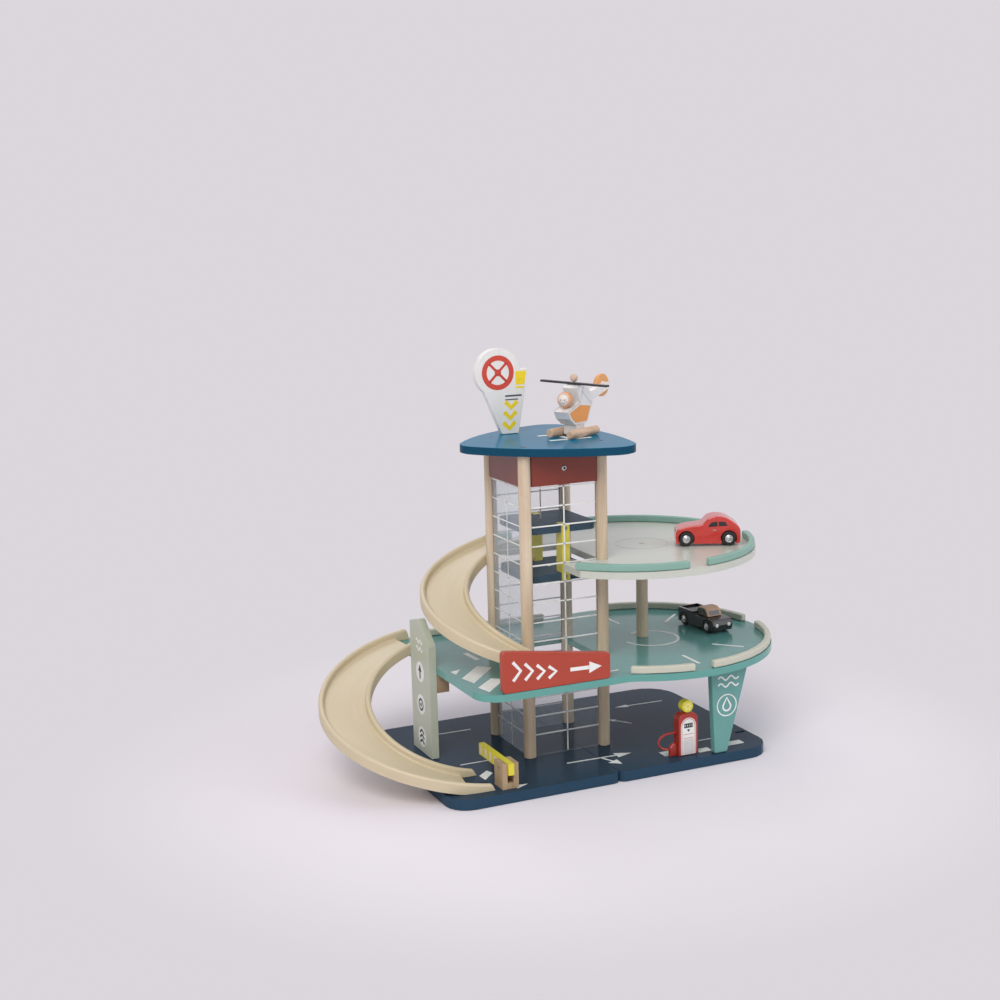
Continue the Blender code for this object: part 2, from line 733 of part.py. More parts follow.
bevel(mid_deck, EDGE_BOARD, 1, 60)

# Upper deck: a round deck with a notch for the tower and an arm that reaches the ramp
upper_round = (UPPER_ROUND_X, UPPER_ROUND_Y)
ramp_outer = UPPER_RAMP_INNER + UPPER_RAMP_WIDE
arm_back = UPPER_RAMP_Y + ramp_outer
lobe_turn = math.degrees(math.asin((UPPER_ROUND_X + UPPER_LOBE_LEFT) / UPPER_ROUND_RADIUS))
arm_turn = math.degrees(math.asin((arm_back - UPPER_ROUND_Y) / UPPER_ROUND_RADIUS))
upper_outline = arc(upper_round, UPPER_ROUND_RADIUS, -90 - lobe_turn, 180 - arm_turn, 52)
upper_outline += [(-UPPER_ARM_LEFT, arm_back), (-UPPER_ARM_LEFT, UPPER_NOTCH_BACK),
                  (SHAFT_RIGHT, UPPER_NOTCH_BACK), (SHAFT_RIGHT, -UPPER_NOTCH_FRONT),
                  (-UPPER_LOBE_LEFT, -UPPER_NOTCH_FRONT)]
upper_deck = add("upper_deck", plate_mesh(upper_outline, UPPER_UNDER, UPPER_TOP), upper_paint)
for side_y in (-1, 1):
    at = (HALF_PITCH, side_y * HALF_PITCH)
    hole = cutter("upper_post_hole", rod_mesh(POST_HOLE, (*at, 0), (*at, POST_TOP)))
    combine(upper_deck, hole)
bevel(upper_deck, EDGE_BOARD, 1, 60)

# Post between the decks
deck_post_at = (DECK_POST_X, DECK_POST_Y)
add("deck_post", rod_mesh(POST_RADIUS, (*deck_post_at, MID_TOP + GAP),
                          (*deck_post_at, UPPER_UNDER - GAP)), wood)


def rim_outline(centre, deck_radius, span):
    """A strip along a round edge, its outer side RIM_INSET in from the edge."""
    outer = deck_radius - RIM_INSET
    steps = max(4, round(abs(span[1] - span[0]) / 8))
    strip = arc(centre, outer, span[0], span[1], steps)
    strip += arc(centre, outer - RIM_WIDE, span[1], span[0], steps)
    return strip


def rim(name, outline, deck_top, look):
    """A strip that stands on a deck's edge."""
    low = deck_top + GAP
    strip = add(name, plate_mesh(outline, low, low + RIM_HIGH), look)
    bevel(strip, EDGE_RIM, 1, 60)


rim("mid_rim_front", rim_outline(mid_round, MID_ROUND_RADIUS, MID_RIM_FRONT), MID_TOP, mid_rim_paint)
rim("mid_rim_right", rim_outline(mid_round, MID_ROUND_RADIUS, MID_RIM_RIGHT), MID_TOP, mid_rim_paint)
rim("mid_rim_back", rim_outline(mid_round, MID_ROUND_RADIUS, MID_RIM_BACK), MID_TOP, mid_rim_paint)
mid_back_rim_y = MID_BACK - RIM_INSET
rim("mid_rim_straight", [(MID_RIM_STRAIGHT[0], mid_back_rim_y - RIM_WIDE),
                         (MID_RIM_STRAIGHT[1], mid_back_rim_y - RIM_WIDE),
                         (MID_RIM_STRAIGHT[1], mid_back_rim_y),
                         (MID_RIM_STRAIGHT[0], mid_back_rim_y)], MID_TOP, mid_rim_paint)
rim("upper_rim_front", rim_outline(upper_round, UPPER_ROUND_RADIUS, UPPER_RIM_FRONT),
    UPPER_TOP, upper_rim_paint)
rim("upper_rim_right", rim_outline(upper_round, UPPER_ROUND_RADIUS, UPPER_RIM_RIGHT),
    UPPER_TOP, upper_rim_paint)
rim("upper_rim_back", rim_outline(upper_round, UPPER_ROUND_RADIUS, UPPER_RIM_BACK),
    UPPER_TOP, upper_rim_paint)
upper_back_rim_y = arm_back - RIM_INSET
rim("upper_rim_straight", [(-UPPER_ARM_LEFT + RIM_INSET, upper_back_rim_y - RIM_WIDE),
                           (UPPER_RIM_STRAIGHT_END, upper_back_rim_y - RIM_WIDE),
                           (UPPER_RIM_STRAIGHT_END, upper_back_rim_y),
                           (-UPPER_ARM_LEFT + RIM_INSET, upper_back_rim_y)],
    UPPER_TOP, upper_rim_paint)


def channel_profile(width, floor, rail):
    """The ramp's cross-section about the middle of its floor's top, rails rounded."""
    half = width / 2
    inner = half - RAMP_RAIL_WIDE
    nose = RAMP_RAIL_WIDE / 2
    right_rail = arc((half - nose, rail - nose), nose, 0, 180, 4)
    left_rail = arc((-half + nose, rail - nose), nose, 0, 180, 4)
    return [(-half, -floor), (half, -floor), *right_rail,
            (inner, 0), (-inner, 0), *left_rail]


def swept_mesh(profile, path):
    """Sweep a closed profile along a path, its up side kept up."""
    section = poly_curve("section", profile, True, "2D")
    bpy.context.scene.collection.objects.link(section)
    guide = poly_curve("path", path, False, "3D")
    guide.data.twist_mode = "Z_UP"
    guide.data.bevel_mode = "OBJECT"
    guide.data.bevel_object = section
    guide.data.use_fill_caps = True
    mesh = mesh_of_curve(guide)
    data = section.data
    bpy.data.objects.remove(section)
    bpy.data.curves.remove(data)
    return mesh


def half_turn_path(centre, long_radius, wide_radius, start, end, fall, lead=0.0):
    """A half turn round the left side, from the back to the front, with straight ends.

    fall(u) gives the height at a share u of the way along, counted from where the level
    lead ends.
    """
    count = RAMP_STEPS
    flat = [(centre[0] + start, centre[1] + wide_radius),
            (centre[0] + start - lead, centre[1] + wide_radius)]
    for i in range(count + 1):
        angle = math.pi / 2 + math.pi * i / count
        flat.append((centre[0] + long_radius * math.cos(angle),
                     centre[1] + wide_radius * math.sin(angle)))
    flat.append((centre[0] + end, centre[1] - wide_radius))
    flat = [here for here, after in zip(flat, flat[1:] + [None]) if here != after]
    runs = [0.0]
    for first, second in zip(flat, flat[1:]):
        runs.append(runs[-1] + math.dist(first, second))
    way = runs[-1] - lead
    return [(x, y, fall(max(0.0, run - lead) / way)) for (x, y), run in zip(flat, runs)]


# Upper ramp, from the upper deck's arm down to the middle deck in front of the tower


def upper_fall(u):
    """Nearly steady fall, a little flatter at both ends."""
    ease = UPPER_RAMP_BEND[0] * u * (1 - u) + UPPER_RAMP_BEND[1] * u * (1 - u) * (1 - 2 * u)
    return UPPER_TOP + (MID_TOP - UPPER_RAMP_SINK - UPPER_TOP) * (u - ease)


upper_ramp_radius = UPPER_RAMP_INNER + UPPER_RAMP_WIDE / 2
upper_start = -UPPER_ARM_LEFT - UPPER_RAMP_X + UPPER_RAIL_LEAD
upper_path = half_turn_path((UPPER_RAMP_X, UPPER_RAMP_Y), upper_ramp_radius, upper_ramp_radius,
                            upper_start, UPPER_RAMP_END, upper_fall, UPPER_RAIL_LEAD)
upper_section = channel_profile(UPPER_RAMP_WIDE, UPPER_RAMP_FLOOR, UPPER_RAIL_HIGH)
upper_ramp = add("upper_ramp", swept_mesh(upper_section, upper_path), ramp_paint)
far = 2 * MID_LEFT
upper_inner = UPPER_RAMP_Y + UPPER_RAMP_INNER
combine(upper_ramp, cutter("upper_ramp_seat", box_mesh((-UPPER_ARM_LEFT - GAP, 0, MID_TOP),
                                                       (far, far, UPPER_TOP + GAP))))
combine(upper_ramp, cutter("upper_ramp_start", box_mesh(
    (-UPPER_ARM_LEFT - GAP, upper_inner + RAMP_RAIL_WIDE, MID_TOP), (far, far, 2 * POST_TOP))))
combine(upper_ramp, cutter("mid_deck_face", box_mesh((-far, -far, 0), (far, far, MID_TOP + GAP))))

# Lower ramp, from the middle deck's tongue down to the base, its rails longer than its floor


def lower_fall(u):
    """Steeper in the middle than at both ends."""
    top = MID_TOP + GAP + LOWER_RAMP_FLOOR
    low = BASE_TOP - LOWER_RAMP_SINK
    return top + (low - top) * (u - LOWER_RAMP_EASE * u * (1 - u) * (1 - 2 * u))


lower_path = half_turn_path((LOWER_RAMP_X, LOWER_RAMP_Y),
                            LOWER_RAMP_INNER_LONG + LOWER_RAMP_WIDE / 2,
                            LOWER_RAMP_INNER_WIDE + LOWER_RAMP_WIDE / 2,
                            LOWER_RAMP_START, LOWER_RAMP_END, lower_fall)
lower_section = channel_profile(LOWER_RAMP_WIDE, LOWER_RAMP_FLOOR, LOWER_RAIL_HIGH)
lower_ramp = add("lower_ramp", swept_mesh(lower_section, lower_path), ramp_paint)
combine(lower_ramp, cutter("base_face", box_mesh((-2 * far, -far, -far), (far, far, BASE_TOP + GAP))))
combine(lower_ramp, cutter("mid_deck_edge", box_mesh((-MID_LEFT - GAP, 0, 0),
                                                     (far, far, MID_TOP + GAP))))
combine(lower_ramp, cutter("tongue_edge", box_mesh((tongue_left - GAP, TONGUE_FRONT - GAP, MID_UNDER / 2),
                                                   (far, far, MID_TOP + GAP))))
floor_reach = LOWER_RAMP_INNER_WIDE + RAMP_RAIL_WIDE
outer_reach = LOWER_RAMP_INNER_WIDE + LOWER_RAMP_WIDE - RAMP_RAIL_WIDE
combine(lower_ramp, cutter("lower_floor_start", box_mesh(
    (-LOWER_FLOOR_START, 0, MID_UNDER),
    (far, LOWER_RAMP_Y + outer_reach, UPPER_TOP))))
combine(lower_ramp, cutter("lower_floor_end", box_mesh(
    (-LOWER_FLOOR_END, LOWER_RAMP_Y - outer_reach, 0),
    (far, LOWER_RAMP_Y - floor_reach, MID_UNDER))))

# Lift cabin: two plates and two struts set in notches in their edges, moved as one
lift = empty("lift", (0, 0, 0))
plate_outline = rounded([(-LIFT_LEFT, -LIFT_HALF_DEEP, LIFT_CORNER),
                         (LIFT_RIGHT, -LIFT_HALF_DEEP, LIFT_CORNER),
                         (LIFT_RIGHT, LIFT_HALF_DEEP, LIFT_CORNER),
                         (-LIFT_LEFT, LIFT_HALF_DEEP, LIFT_CORNER)], 3)
lift_floor = add("lift_floor", plate_mesh(plate_outline, LIFT_FLOOR_Z, LIFT_FLOOR_Z + LIFT_PLATE),
                 lift_paint, lift)
lift_roof = add("lift_roof", plate_mesh(plate_outline, LIFT_ROOF_Z, LIFT_ROOF_Z + LIFT_PLATE),
                lift_paint, lift)
strut_top = LIFT_ROOF_Z + LIFT_PLATE
for name, side in (("lift_strut_front", -1), ("lift_strut_back", 1)):
    near = side * (LIFT_HALF_DEEP + STRUT_PROUD - STRUT_DEEP)
    away = side * (LIFT_HALF_DEEP + STRUT_PROUD)
    bevel(add(name, box_mesh((STRUT_X - STRUT_WIDE / 2, min(near, away), LIFT_FLOOR_Z),
                             (STRUT_X + STRUT_WIDE / 2, max(near, away), strut_top)),
              yellow, lift), EDGE_SMALL, 1)
    notch = cutter("strut_notch", box_mesh(
        (STRUT_X - STRUT_WIDE / 2 - GAP, min(near - side * GAP, side * POST_PITCH), 0),
        (STRUT_X + STRUT_WIDE / 2 + GAP, max(near - side * GAP, side * POST_PITCH), POST_TOP)))
    combine(lift_floor, notch)
    combine(lift_roof, notch)
bevel(lift_floor, EDGE_PLATE, 1)
bevel(lift_roof, EDGE_PLATE, 1)

# Winch: a spindle with two flanges in the front and back boards, a turned handle and the cord
spindle_front = -board_out
knob_start = board_out + GAP
spindle_back = knob_start + KNOB_SOCKET
flange_in = DRUM_LONG / 2
flange_out = flange_in + FLANGE_THICK
spindle_profile = [(0, spindle_front), (SPINDLE_RADIUS, spindle_front),
                   (SPINDLE_RADIUS, -flange_out), (FLANGE_RADIUS, -flange_out),
                   (FLANGE_RADIUS, -flange_in), (DRUM_RADIUS, -flange_in),
                   (DRUM_RADIUS, flange_in), (FLANGE_RADIUS, flange_in),
                   (FLANGE_RADIUS, flange_out), (SPINDLE_RADIUS, flange_out),
                   (SPINDLE_RADIUS, spindle_back), (0, spindle_back)]
lie_back = (math.radians(-90), 0, 0)
turned("winch_spindle", spindle_profile, wood, None, (0, 0, SPINDLE_Z), lie_back)
knob_end = knob_start + KNOB_LONG
knob_profile = [(0, knob_start), (KNOB_NECK, knob_start)]
for i in range(1, 10):
    share = i / 10
    swell = math.sin(math.pi * share ** 1.4) ** 2
    knob_profile.append((KNOB_NECK + (KNOB_BULGE - KNOB_NECK) * swell,
                         knob_start + (KNOB_LONG - KNOB_BULGE) * share))
for i in range(1, 6):
    turn = math.pi / 2 * i / 6
    knob_profile.append((KNOB_NECK * math.cos(turn),
                         knob_end - KNOB_NECK + KNOB_NECK * math.sin(turn)))
knob_profile.append((0, knob_end))
knob = turned("crank_knob", knob_profile, wood, None, (0, 0, SPINDLE_Z), lie_back)
combine(knob, cutter("knob_socket", rod_mesh(
    SPINDLE_RADIUS + GAP, (0, knob_start - KNOB_NECK, SPINDLE_Z), (0, spindle_back + GAP, SPINDLE_Z))))
cord_x = -DRUM_RADIUS - CORD_RADIUS - GAP
add("lift_cord", rod_mesh(CORD_RADIUS, (0, 0, strut_top + GAP - SPINDLE_Z), (0, 0, 0), 10),
    cord_fibre, None, (cord_x, 0, SPINDLE_Z))

# Signs
parking_foot = MID_TOP + GAP
bevel(add("parking_sign", plate_mesh(rounded([
    (PARKING_LEFT, parking_foot, PARKING_CORNER),
    (PARKING_RIGHT, parking_foot, PARKING_CORNER),
    (PARKING_RIGHT, parking_foot + PARKING_HIGH_RIGHT, PARKING_CORNER),
    (PARKING_LEFT, parking_foot + PARKING_HIGH_LEFT, PARKING_CORNER)], 3),
    -MID_FRONT, -MID_FRONT + PARKING_THICK, "XZ"), sign_red), EDGE_SIGN, 1)
sign_foot = BASE_TOP + GAP
sign_right = -MID_LEFT - GAP
sign_back = RAMP_SIGN_FRONT + RAMP_SIGN_DEEP
bevel(add("ramp_sign", plate_mesh(rounded([
    (RAMP_SIGN_FRONT, sign_foot, 0), (sign_back, sign_foot, 0),
    (sign_back, BASE_TOP + RAMP_SIGN_BACK_HIGH, RAMP_SIGN_BACK_CORNER),
    (RAMP_SIGN_FRONT + RAMP_SIGN_PEAK, BASE_TOP + RAMP_SIGN_PEAK_HIGH, RAMP_SIGN_CORNER),
    (RAMP_SIGN_FRONT, BASE_TOP + RAMP_SIGN_FRONT_HIGH, RAMP_SIGN_CORNER)], 3),
    sign_right - RAMP_SIGN_THICK, sign_right, "YZ"), sign_sage), EDGE_SIGN, 1)
add("sign_block", box_mesh((sign_right + GAP, BATTEN_FRONT, MID_UNDER - GAP - BATTEN_HIGH),
                           (sign_right + GAP + BATTEN_WIDE, BATTEN_FRONT + BATTEN_LONG,
                            MID_UNDER - GAP)), wood)
bevel(add("service_sign", plate_mesh([
    (SERVICE_FOOT_LEFT, sign_foot), (SERVICE_FOOT_LEFT + SERVICE_FOOT_WIDE, sign_foot),
    (SERVICE_TOP_LEFT + SERVICE_TOP_WIDE, MID_UNDER - GAP), (SERVICE_TOP_LEFT, MID_UNDER - GAP)],
    SERVICE_FRONT, SERVICE_FRONT + SERVICE_THICK, "XZ"), sign_teal), EDGE_SIGN, 1)
head = (TOP_SIGN_HEAD_X, PAD_TOP + TOP_SIGN_HEAD_HIGH)
top_foot = PAD_TOP + GAP
top_outline = [(TOP_SIGN_FOOT_LEFT, top_foot), (TOP_SIGN_FOOT_LEFT + TOP_SIGN_FOOT_WIDE, top_foot),
               (TOP_SIGN_RIGHT, PAD_TOP + TOP_SIGN_SHOULDER)]
shoulder_turn = math.degrees(math.asin((TOP_SIGN_SHOULDER - TOP_SIGN_HEAD_HIGH) / TOP_SIGN_HEAD_RADIUS))
top_outline += arc(head, TOP_SIGN_HEAD_RADIUS, shoulder_turn, 232, 20)
bevel(add("top_sign", plate_mesh(top_outline, TOP_SIGN_FRONT, TOP_SIGN_FRONT + TOP_SIGN_THICK, "XZ"),
          sign_white), EDGE_SIGN, 1)

# Barrier: a slotted block, an arm and its pin
pivot_y = BARRIER_FRONT + ARM_PIVOT_DEEP
pivot_z = BASE_TOP + ARM_PIVOT_HIGH
barrier_middle = BARRIER_LEFT + BARRIER_WIDE / 2
block = add("barrier_block", box_mesh(
    (BARRIER_LEFT, BARRIER_FRONT, sign_foot),
    (BARRIER_LEFT + BARRIER_WIDE, BARRIER_FRONT + BARRIER_DEEP, BASE_TOP + BARRIER_HIGH)), wood)
slot_half = ARM_THICK / 2 + RUNNING
combine(block, cutter("barrier_slot", box_mesh(
    (barrier_middle - slot_half, BARRIER_FRONT - BARRIER_DEEP, BASE_TOP + BARRIER_SLOT_FLOOR),
    (barrier_middle + slot_half, BARRIER_FRONT + 2 * BARRIER_DEEP, BASE_TOP + 2 * BARRIER_HIGH))))
pin_bore = cutter("pin_bore", rod_mesh(PIN_RADIUS + RUNNING,
                                       (BARRIER_LEFT - BARRIER_WIDE, pivot_y, pivot_z),
                                       (BARRIER_LEFT + 2 * BARRIER_WIDE, pivot_y, pivot_z), 16))
combine(block, pin_bore)
arm = add("barrier_arm", box_mesh((-ARM_THICK / 2, -ARM_TAIL, -ARM_HIGH / 2),
                                  (ARM_THICK / 2, ARM_REACH, ARM_HIGH / 2)),
          yellow, None, (barrier_middle, pivot_y, pivot_z))
combine(arm, pin_bore)
add("barrier_pin", rod_mesh(PIN_RADIUS, (BARRIER_LEFT, pivot_y, pivot_z),
                            (BARRIER_LEFT + BARRIER_WIDE, pivot_y, pivot_z), 16), steel)

# Fuel pump
pump_right = PUMP_LEFT + PUMP_WIDE
pump_back = PUMP_FRONT + PUMP_DEEP
pump_top = BASE_TOP + PUMP_HIGH
pump_outline = rounded([(PUMP_LEFT, sign_foot, 0), (pump_right, sign_foot, 0),
                        (pump_right, pump_top, PUMP_SHOULDER), (PUMP_LEFT, pump_top, PUMP_SHOULDER)])
bevel(add("pump_body", plate_mesh(pump_outline, PUMP_FRONT, pump_back, "XZ"), pump_red), EDGE_SIGN, 1)
globe_x = PUMP_LEFT + PUMP_WIDE / 2
globe_z = pump_top + GAP + GLOBE_RADIUS
globe_front = PUMP_FRONT + (PUMP_DEEP - GLOBE_LONG) / 2
bevel(add("pump_globe", rod_mesh(GLOBE_RADIUS, (globe_x, globe_front, globe_z),
                                 (globe_x, globe_front + GLOBE_LONG, globe_z)), yellow), EDGE_SMALL, 1)
hose_y = (PUMP_FRONT + pump_back) / 2
hose_x = PUMP_LEFT - GAP
hose_middle = BASE_TOP + (HOSE_TOP_HIGH + HOSE_LOW_HIGH) / 2
hose_half = (HOSE_TOP_HIGH - HOSE_LOW_HIGH) / 2
nozzle_right = PUMP_LEFT - GAP
nozzle_left = nozzle_right - NOZZLE_WIDE
hose_path = [(hose_x, hose_y, hose_middle + hose_half)]
for i in range(13):
    turn = math.pi / 2 + math.pi * i / 12
    hose_path.append((nozzle_left + (HOSE_REACH - NOZZLE_WIDE) * math.cos(turn), hose_y,
                      hose_middle + hose_half * math.sin(turn)))
hose_path.append((nozzle_left - GAP, hose_y, hose_middle - hose_half))
hose = poly_curve("pump_hose", hose_path[:-2] + [hose_path[-1]], False, "3D")
hose.data.bevel_depth = HOSE_RADIUS
hose.data.bevel_resolution = 2
hose.data.use_fill_caps = True
add("pump_hose", mesh_of_curve(hose), pump_red)
nozzle_top = sign_foot + NOZZLE_HIGH
bevel(add("pump_nozzle", plate_mesh([
    (nozzle_left, sign_foot), (nozzle_right, sign_foot), (nozzle_right, nozzle_top),
    (nozzle_right - NOZZLE_WIDE / 2, nozzle_top), (nozzle_left, hose_middle - hose_half + 2 * HOSE_RADIUS)],
    hose_y - NOZZLE_THICK / 2, hose_y + NOZZLE_THICK / 2, "XZ"), pump_red), EDGE_SMALL, 1)

# Helicopter: a slab body with a boom, on two round skids
helicopter = empty("helicopter", (HELI_X, HELI_Y, PAD_TOP + GAP), HELI_HEADING)
skid_half = SKID_SPACING / 2
for name, side in (("skid_left", 1), ("skid_right", -1)):
    skid = add(name, rod_mesh(SKID_RADIUS, (-SKID_LONG / 2, side * skid_half, SKID_RADIUS),
                              (SKID_LONG / 2, side * skid_half, SKID_RADIUS), 16), wood, helicopter)
    bevel(skid, EDGE_PLATE, 1)
belly = HELI_BELLY
cabin_back = arc((-CABIN_CENTRE_BACK, CABIN_HIGH - CABIN_RADIUS), CABIN_RADIUS, 80, 175, 6)
heli_outline = [(HELI_FLOOR_FRONT, belly), (HELI_CHIN, belly + HELI_CHIN_RISE),
                (HELI_NOSE, belly + HELI_NOSE_RISE), (-HELI_DASH_BACK, belly + HELI_DASH_RISE),
                (HELI_BROW, CABIN_HIGH - HELI_BROW_DROP), *cabin_back,
                (-HELI_BACK, belly + HELI_BACK_RISE), (-HELI_FLOOR_BACK, belly)]
heli_body = add("heli_body", plate_mesh(heli_outline[::-1], -HELI_THICK / 2, HELI_THICK / 2, "XZ"),
                heli_paint, helicopter)
boom_end = (-BOOM_END_BACK, BOOM_END_HIGH)
boom_outline = [(-BOOM_ROOT, belly + BOOM_ROOT_LOW), (-BOOM_ROOT, belly + BOOM_ROOT_HIGH),
                *arc(boom_end, BOOM_END_RADIUS, 107, 287, 6)]
boom = cutter("boom", plate_mesh(boom_outline, -BOOM_THICK / 2, BOOM_THICK / 2, "XZ"))
boom.parent = helicopter
combine(heli_body, boom, "UNION")
foot_half = skid_half - SKID_RADIUS - GAP
foot = cutter("foot", box_mesh((-HELI_FOOT_BACK, -foot_half, SKID_RADIUS / 2),
                               (HELI_FOOT_FRONT, foot_half, belly + HELI_FOOT_RISE)))
foot.parent = helicopter
combine(heli_body, foot, "UNION")
seat = cutter("pilot_seat", ball_mesh(PILOT_RADIUS + GAP, (PILOT_FORWARD, 0, PILOT_HIGH)))
seat.parent = helicopter
combine(heli_body, seat)
add("pilot_head", ball_mesh(PILOT_RADIUS, (PILOT_FORWARD, 0, PILOT_HIGH)), wood, helicopter)
rotor_low = CABIN_HIGH + GAP
rotor_at = (-ROTOR_BACK, 0, rotor_low)
rotor_turn = (0, 0, math.radians(ROTOR_TURN))
bevel(add("heli_rotor", box_mesh((-ROTOR_LONG / 2, -ROTOR_WIDE / 2, 0),
                                 (ROTOR_LONG / 2, ROTOR_WIDE / 2, ROTOR_THICK)),
          black, helicopter, rotor_at, rotor_turn), EDGE_ROTOR, 1)
add("rotor_ball", ball_mesh(ROTOR_BALL_RADIUS, (0, 0, ROTOR_THICK + GAP + ROTOR_BALL_RADIUS)),
    wood, helicopter, rotor_at)
disc_near = -BOOM_THICK / 2 - GAP
bevel(add("heli_tail_disc", rod_mesh(TAIL_DISC_RADIUS, (0, disc_near, 0), (0, disc_near - TAIL_DISC_THICK, 0)),
          orange, helicopter, (-BOOM_END_BACK, 0, BOOM_END_HIGH)), EDGE_SMALL, 1)


def wheelset(name, parent, forward, radius, width, look):
    """Two wheels on one axle, turned as one piece about the car's width."""
    half = width / 2
    inner = half - WHEEL_WIDE
    ease = radius * 0.12
    profile = [(0, -half + ease), (radius * 0.55, -half + ease), (radius * 0.62, -half),
               (radius - ease, -half), (radius, -half + ease), (radius, -inner - ease),
               (radius - ease, -inner), (AXLE_RADIUS, -inner)]
    profile += [(reach, -along) for reach, along in profile[::-1]]
    return turned(name, profile, look, parent, (forward, 0, radius), lie_back, 20)


def car_body(name, outline, width, wheelbase, radius, look, parent):
    """A body slab with wheel arches and axle bores cut at both axles."""
    body = add(name, plate_mesh(outline, -width / 2, width / 2, "XZ"), look, parent)
    bevel(body, EDGE_CAR, 2)
    arch = radius + ARCH_CLEARANCE
    inner = width / 2 - WHEEL_WIDE - RUNNING
    for forward in (-wheelbase / 2, wheelbase / 2):
        for side in (-1, 1):
            well = cutter(name + "_arch", rod_mesh(arch, (forward, side * inner, radius),
                                                   (forward, side * 2 * width, radius)))
            well.parent = parent
            combine(body, well)
        bore = cutter(name + "_bore", rod_mesh(AXLE_RADIUS + RUNNING, (forward, -width, radius),
                                               (forward, width, radius), 12))
        bore.parent = parent
        combine(body, bore)
    return body


# Red coupe on the upper deck, seen from the side as a bonnet, a round roof and a long tail
coupe = empty("coupe", (UPPER_ROUND_X + UPPER_ROUND_RADIUS - COUPE_FROM_RIGHT,
                        UPPER_ROUND_Y - COUPE_FROM_MIDDLE, UPPER_TOP + GAP), COUPE_HEADING)
coupe_nose = COUPE_WHEELBASE / 2 + COUPE_FRONT_OVERHANG
coupe_tail = COUPE_WHEELBASE / 2 + COUPE_REAR_OVERHANG
coupe_roof = arc((-COUPE_ROOF_BACK, COUPE_ROOF_CENTRE_HIGH), COUPE_ROOF_RADIUS, 68, 118, 6)
coupe_outline = [(coupe_nose - BUMPER_TUCK, COUPE_BELLY), (coupe_nose, COUPE_LAMPS_HIGH),
                 (coupe_nose - COUPE_NOSE_SLOPE, COUPE_NOSE_HIGH), (COUPE_BONNET, COUPE_BONNET_HIGH),
                 (COUPE_SCREEN, COUPE_SCREEN_HIGH), *coupe_roof,
                 (-coupe_tail + COUPE_TAIL_SLOPE, COUPE_TAIL_HIGH), (-coupe_tail, COUPE_BUMPER_HIGH),
                 (-coupe_tail + BUMPER_TUCK, COUPE_BELLY)]
car_body("coupe_body", coupe_outline[::-1], COUPE_WIDE, COUPE_WHEELBASE, COUPE_WHEEL_RADIUS,
         car_red, coupe)
wheelset("coupe_wheels_front", coupe, COUPE_WHEELBASE / 2, COUPE_WHEEL_RADIUS, COUPE_WIDE + EASE, black)
wheelset("coupe_wheels_rear", coupe, -COUPE_WHEELBASE / 2, COUPE_WHEEL_RADIUS, COUPE_WIDE + EASE, black)

# Black pickup with a wooden cab on the middle deck
pickup = empty("pickup", (MID_ROUND_X + MID_ROUND_RADIUS - PICKUP_FROM_RIGHT,
                          MID_ROUND_Y + PICKUP_FROM_MIDDLE, MID_TOP + GAP), PICKUP_HEADING)
pickup_nose = PICKUP_WHEELBASE / 2 + PICKUP_FRONT_OVERHANG
pickup_tail = PICKUP_WHEELBASE / 2 + PICKUP_REAR_OVERHANG
cab_front = PICKUP_WHEELBASE / 2 - PICKUP_CAB_SETBACK
cab_back = cab_front - PICKUP_CAB_LONG
pickup_outline = [(pickup_nose - BUMPER_TUCK, PICKUP_BELLY), (pickup_nose, PICKUP_NOSE_HIGH),
                  (pickup_nose - PICKUP_NOSE_SLOPE, PICKUP_HOOD_HIGH - BUMPER_TUCK),
                  (cab_front, PICKUP_HOOD_HIGH),
                  (cab_back - GAP, PICKUP_HOOD_HIGH), (cab_back - GAP, PICKUP_BED_HIGH),
                  (-pickup_tail, PICKUP_BED_HIGH), (-pickup_tail, PICKUP_BELLY)]
pickup_body = car_body("pickup_body", pickup_outline[::-1], PICKUP_WIDE, PICKUP_WHEELBASE,
                       PICKUP_WHEEL_RADIUS, black, pickup)
bed = cutter("pickup_bed", box_mesh(
    (-pickup_tail + PICKUP_BED_WALL, -PICKUP_WIDE / 2 + PICKUP_BED_WALL, PICKUP_BED_HIGH - PICKUP_BED_DEEP),
    (cab_back - PICKUP_BED_WALL, PICKUP_WIDE / 2 - PICKUP_BED_WALL, 2 * PICKUP_BED_HIGH)))
bed.parent = pickup
combine(pickup_body, bed)
cab_low = PICKUP_HOOD_HIGH + GAP
cab_roof = PICKUP_HOOD_HIGH + PICKUP_CAB_HIGH
roof_edge = cab_roof - PICKUP_ROOF_EDGE
cab_outline = [(cab_front, cab_low), (cab_front - PICKUP_SCREEN_SLOPE, roof_edge),
               (cab_front - PICKUP_BROW, cab_roof), (cab_back + PICKUP_ROOF_BACK, cab_roof),
               (cab_back + PICKUP_CAB_BACK_SLOPE, roof_edge), (cab_back, cab_low)]
bevel(add("pickup_cab", plate_mesh(cab_outline[::-1], -PICKUP_CAB_WIDE / 2, PICKUP_CAB_WIDE / 2, "XZ"),
          wood, pickup), EDGE_CAB, 2)
wheelset("pickup_wheels_front", pickup, PICKUP_WHEELBASE / 2, PICKUP_WHEEL_RADIUS,
         PICKUP_WIDE + EASE, black)
wheelset("pickup_wheels_rear", pickup, -PICKUP_WHEELBASE / 2, PICKUP_WHEEL_RADIUS,
         PICKUP_WIDE + EASE, black)
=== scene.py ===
# %% [markdown]
# # Dressing a wooden toy garage
# The packed model already has every board, post, ramp and wheel in its right place. This
# lesson loads it as a fixed frame and gives it what the real toy shows: painted and bare
# wood, printed road marks, clear panels with a white grid, and small fittings. All of it
# could be modelled afresh, but then the looks and the moving model would drift apart, so
# each new piece takes its place from the frame's own boxes.

# %% The frame
import json
import math

